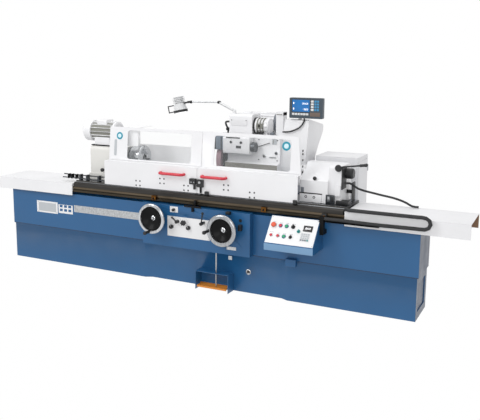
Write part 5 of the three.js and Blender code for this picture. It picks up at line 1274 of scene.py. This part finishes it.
class GRINDER_OT_lamp(bpy.types.Operator):
    """Work lamp on its jointed arm"""

    bl_idname = "grinder.lamp"
    bl_label = "Lamp"
    bl_options = {"REGISTER", "UNDO"}

    # Joints of the arm, and the shade's centre in the frame of its tilting joint
    foot, elbow = Vector((0.184, 0.28, 1.524)), Vector((0.03, 0.28, 1.594))
    wrist = Vector((-0.293, 0.28, 1.587))
    head_tilt, shade_x = -0.21, -0.104

    def execute(self, context):
        self.tip = Matrix.Translation(self.wrist) @ Matrix.Rotation(self.head_tilt, 4, "Y")
        low_knuckle = where("abs_black", lambda c, n: (c - self.elbow).length < 0.026)
        dressed("lamp_lower_arm", "abs_pale", angle=40.0, parts=low_knuckle)
        knuckles = where("abs_black", lambda c, n: (c - self.elbow).length < 0.03 or c.x < -0.27)
        dressed("lamp_upper_arm", "steel_ground", angle=40.0, parts=knuckles)
        dressed("lamp_head", "abs_pale", angle=40.0, parts=where("abs_black", self.rim_or_yoke))
        self.sleeve()
        self.rod_and_knuckles()
        lens = Kit("lamp_lens")
        mouth = self.tip @ Matrix.Translation((self.shade_x, 0, 0))
        lens.boss(0.056, -0.0811, -0.0803, "lens_frosted", mouth, steps=36)
        lens.done("lamp", "clear_pane")
        return {"FINISHED"}

    def rim_or_yoke(self, centre, normal):
        """The shade's lower rim and the yoke round it are black."""
        at = self.tip.inverted() @ centre
        return at.z < -0.056 or math.hypot(at.x - self.shade_x, at.y) > 0.0705 or at.x > -0.02

    def sleeve(self):
        """Pale sleeve over the springs of the lower arm."""
        kit = Kit("lamp_sleeve")
        kit.pipe([self.elbow.lerp(self.foot, 0.14), self.foot.lerp(self.elbow, 0.06)], 0.0125, "abs_pale", 16)
        kit.done("lamp_low", "black_plastic")

    def rod_and_knuckles(self):
        """Round knuckles at both ends of the upper arm, and the bright rod between them."""
        radius, knuckle_ends = 0.015, (self.elbow, Vector((-0.268, 0.28, 1.588)))
        ball = [(radius * math.sin(a), -radius * math.cos(a)) for a in (math.pi * i / 8 for i in range(9))]
        kit = Kit("lamp_knuckles")
        for place in knuckle_ends:
            kit.lathe(ball, "abs_black", Matrix.Translation(place), 20)
        kit.pipe([(0.012, 0.28, 1.5937), (-0.255, 0.28, 1.5888)], 0.0062, "steel_ground")
        kit.done("lamp_up", "black_plastic")


class GRINDER_OT_readout(bpy.types.Operator):
    """Digital readout with its screen and keys"""

    bl_idname = "grinder.readout"
    bl_label = "Readout"
    bl_options = {"REGISTER", "UNDO"}

    key_depth, key_edge = 0.002, 0.0008

    def execute(self, context):
        dressed("readout_display", "abs_slate")
        kit = Kit("readout_face")
        face = front(0, READOUT_FRONT, 0)
        self.screen(kit, face)
        # Three columns of keys at the right: a pale one, and two blue ones 23 mm apart
        key, rise = 0.018, 0.0245
        for row in range(4):
            z = 1.545 + rise * row
            kit.plate(0.921, z, 0.025, key, "abs_pale", face, self.key_depth, self.key_edge)
            for x in (0.953, 0.976):
                kit.plate(x, z, 0.019, key, "abs_blue", face, self.key_depth, self.key_edge)
        # Brown field under them, and a row of six keys under the screen
        kit.plate(0.913, 1.496, 0.093, 0.035, "film_brown", face, 0.001, 0.0005)
        for column in range(6):
            x = 0.746 + 0.0262 * column
            kit.plate(x, 1.505, 0.022, key, "abs_pale", face, self.key_depth, self.key_edge)
        kit.done("readout", "black_plastic")
        return {"FINISHED"}

    def screen(self, kit, face):
        """Black surround and lit screen with two lines of figures, each after a small mark."""
        surround, glass, figure = 0.001, 0.0016, 0.0105
        kit.plate(0.744, 1.531, 0.169, 0.112, "abs_black", face, surround)
        kit.plate(0.748, 1.535, 0.161, 0.105, "screen_blue", face, glass, 0.0004, surround)
        for z, text in ((1.6, "104.628"), (1.551, "-36.50")):
            start = 0.898 - figure * len(text.replace(".", ""))
            kit.digits(text, 0.014, "lens_frosted", front(start, READOUT_FRONT - glass, z), FIGURE)
            kit.plate(0.756, z + 0.002, 0.009, 0.016, "lens_frosted", face, glass + FIGURE, 0, glass)


class GRINDER_OT_rear(bpy.types.Operator):
    """Rear splash guard and electrical cabinet"""

    bl_idname = "grinder.rear"
    bl_label = "Rear guard and cabinet"
    bl_options = {"REGISTER", "UNDO"}

    def execute(self, context):
        # The splash guard's brighter white is painted light on its shaded front
        dressed("rear_splash_guard", "enamel_bright")
        dressed("electrical_cabinet", "enamel_cabinet")
        right, door = corners("electrical_cabinet")[1].x, 0.004
        face = side(right, 0, 0)
        kit = Kit("cabinet_door")
        kit.plate(0.37, 0.06, 0.29, 1.05, "enamel_cabinet", face, door, 0.002)
        # Turning latch with its grip
        kit.boss(0.018, door, 0.012, "foil_silver", side(right, 0.395, 0.62), 0.006, 0.004)
        kit.plate(0.388, 0.6, 0.014, 0.04, "abs_black", face, 0.02, 0.002, 0.012)
        # Eight air slots, 20 mm apart, and three hinges
        for i in range(8):
            kit.plate(0.44, 0.12 + 0.02 * i, 0.16, 0.007, "enamel_shadow", face, door + 0.0008, 0, door)
        for z in (0.16, 0.58, 1.0):
            hinge = Vector((right + door, 0.664, z))
            kit.pipe([hinge, hinge + Z * 0.06], 0.006, "steel_ground")
        kit.done("bed", "white_enamel")
        return {"FINISHED"}


class GRINDER_OT_stage(bpy.types.Operator):
    """White floor, white surroundings and soft lamps"""

    bl_idname = "grinder.stage"
    bl_label = "Stage"
    bl_options = {"REGISTER", "UNDO"}

    # Name, place, aim, size and power in watts
    lamps = (
        ("key", (-3.2, -4.5, 5.2), (0, 0, 0.8), 3.0, 150.0),
        ("fill", (2.4, -6.4, 2.6), (0.6, 0, 0.9), 3.0, 80.0),
        ("over", (0.5, 0.5, 5.5), (0, 0, 0.8), 4.0, 45.0),
    )

    def execute(self, context):
        bpy.context.scene.view_settings.view_transform = "Standard"
        self.surroundings()
        self.floor()
        [self.lamp(*row) for row in self.lamps]
        return {"FINISHED"}

    def surroundings(self):
        """White to the camera; to the object a little dimmer, and dimmest from below."""
        world = bpy.data.worlds.new("surroundings")
        world.use_nodes = True
        tree = world.node_tree
        tree.nodes.clear()
        seen = add(tree, "ShaderNodeLightPath", out="Is Camera Ray")
        around = add(tree, "ShaderNodeTexCoord", out="Generated")
        height = add(tree, "ShaderNodeSeparateXYZ", {0: around}, "Z")
        sky = add(tree, "ShaderNodeMapRange", enumerate((height, -0.4, 0.9, 0.72, 0.88)))
        level = add(tree, "ShaderNodeMix", {0: seen, 2: sky, 3: 1.0}, data_type="FLOAT")
        light = add(tree, "ShaderNodeBackground", {"Color": (1, 1, 1, 1), "Strength": level})
        add(tree, "ShaderNodeOutputWorld", {"Surface": light})
        bpy.context.scene.world = world

    def floor(self):
        """A sheet of white paper that throws no light on the object."""
        half = 40
        outline = [(-half, -half), (half, -half), (half, half), (-half, half)]
        shape = Kit("floor").sheet(outline, -0.002, "paper_white", low=-0.01)
        mesh = bpy.data.meshes.new("floor")
        mesh.from_pydata(shape.points, [], shape.faces)
        white, tree, at = blank("paper_white")
        grain = speckle(tree, at, 2000, 3.0, (0.0, 1.0), (0.998, 1.0))
        glow = add(tree, "ShaderNodeEmission", {"Color": (1, 1, 1, 1), "Strength": grain})
        add(tree, "ShaderNodeOutputMaterial", {"Surface": glow})
        mesh.materials.append(white)
        floor = bpy.data.objects.new("floor", mesh)
        floor.visible_diffuse = False
        bpy.context.scene.collection.objects.link(floor)
        return floor

    def lamp(self, name, place, aim, size, power):
        """A square soft lamp that looks at its aim."""
        data = bpy.data.lights.new(name, "AREA")
        data.size, data.energy = size, power
        lamp = bpy.data.objects.new(name, data)
        lamp.location = place
        lamp.rotation_euler = (Vector(aim) - Vector(place)).to_track_quat("-Z", "Y").to_euler()
        bpy.context.scene.collection.objects.link(lamp)
        return lamp


OPERATORS = (
    GRINDER_OT_camera, GRINDER_OT_hoses, GRINDER_OT_bed, GRINDER_OT_hydraulics, GRINDER_OT_handwheels,
    GRINDER_OT_console, GRINDER_OT_pedal, GRINDER_OT_tables, GRINDER_OT_doors, GRINDER_OT_workhead,
    GRINDER_OT_tailstock, GRINDER_OT_wheelhead, GRINDER_OT_bracket, GRINDER_OT_lamp, GRINDER_OT_readout,
    GRINDER_OT_rear, GRINDER_OT_stage,
)


class GRINDER_PT_panel(bpy.types.Panel):
    """Lists the operators and the values that a user may change"""

    bl_idname = "GRINDER_PT_panel"
    bl_label = "Grinder"
    bl_space_type = "VIEW_3D"
    bl_region_type = "UI"
    bl_category = "Grinder"

    def draw(self, context):
        for group in (context.scene.grinder_colours, context.scene.grinder_sizes):
            for key in group.__annotations__:
                self.layout.prop(group, key)
        for operator in OPERATORS:
            self.layout.operator(operator.bl_idname)


CLASSES = (GrinderColours, GrinderSizes) + OPERATORS + (GRINDER_PT_panel,)


def register():
    for entry in CLASSES:
        bpy.utils.register_class(entry)
    bpy.types.Scene.grinder_colours = PointerProperty(type=GrinderColours)
    bpy.types.Scene.grinder_sizes = PointerProperty(type=GrinderSizes)


def unregister():
    del bpy.types.Scene.grinder_colours
    del bpy.types.Scene.grinder_sizes
    for entry in reversed(CLASSES):
        bpy.utils.unregister_class(entry)


def main():
    register()
    for operator in OPERATORS:
        group, name = operator.bl_idname.split(".")
        getattr(getattr(bpy.ops, group), name)()


if __name__ == "__main__":
    main()
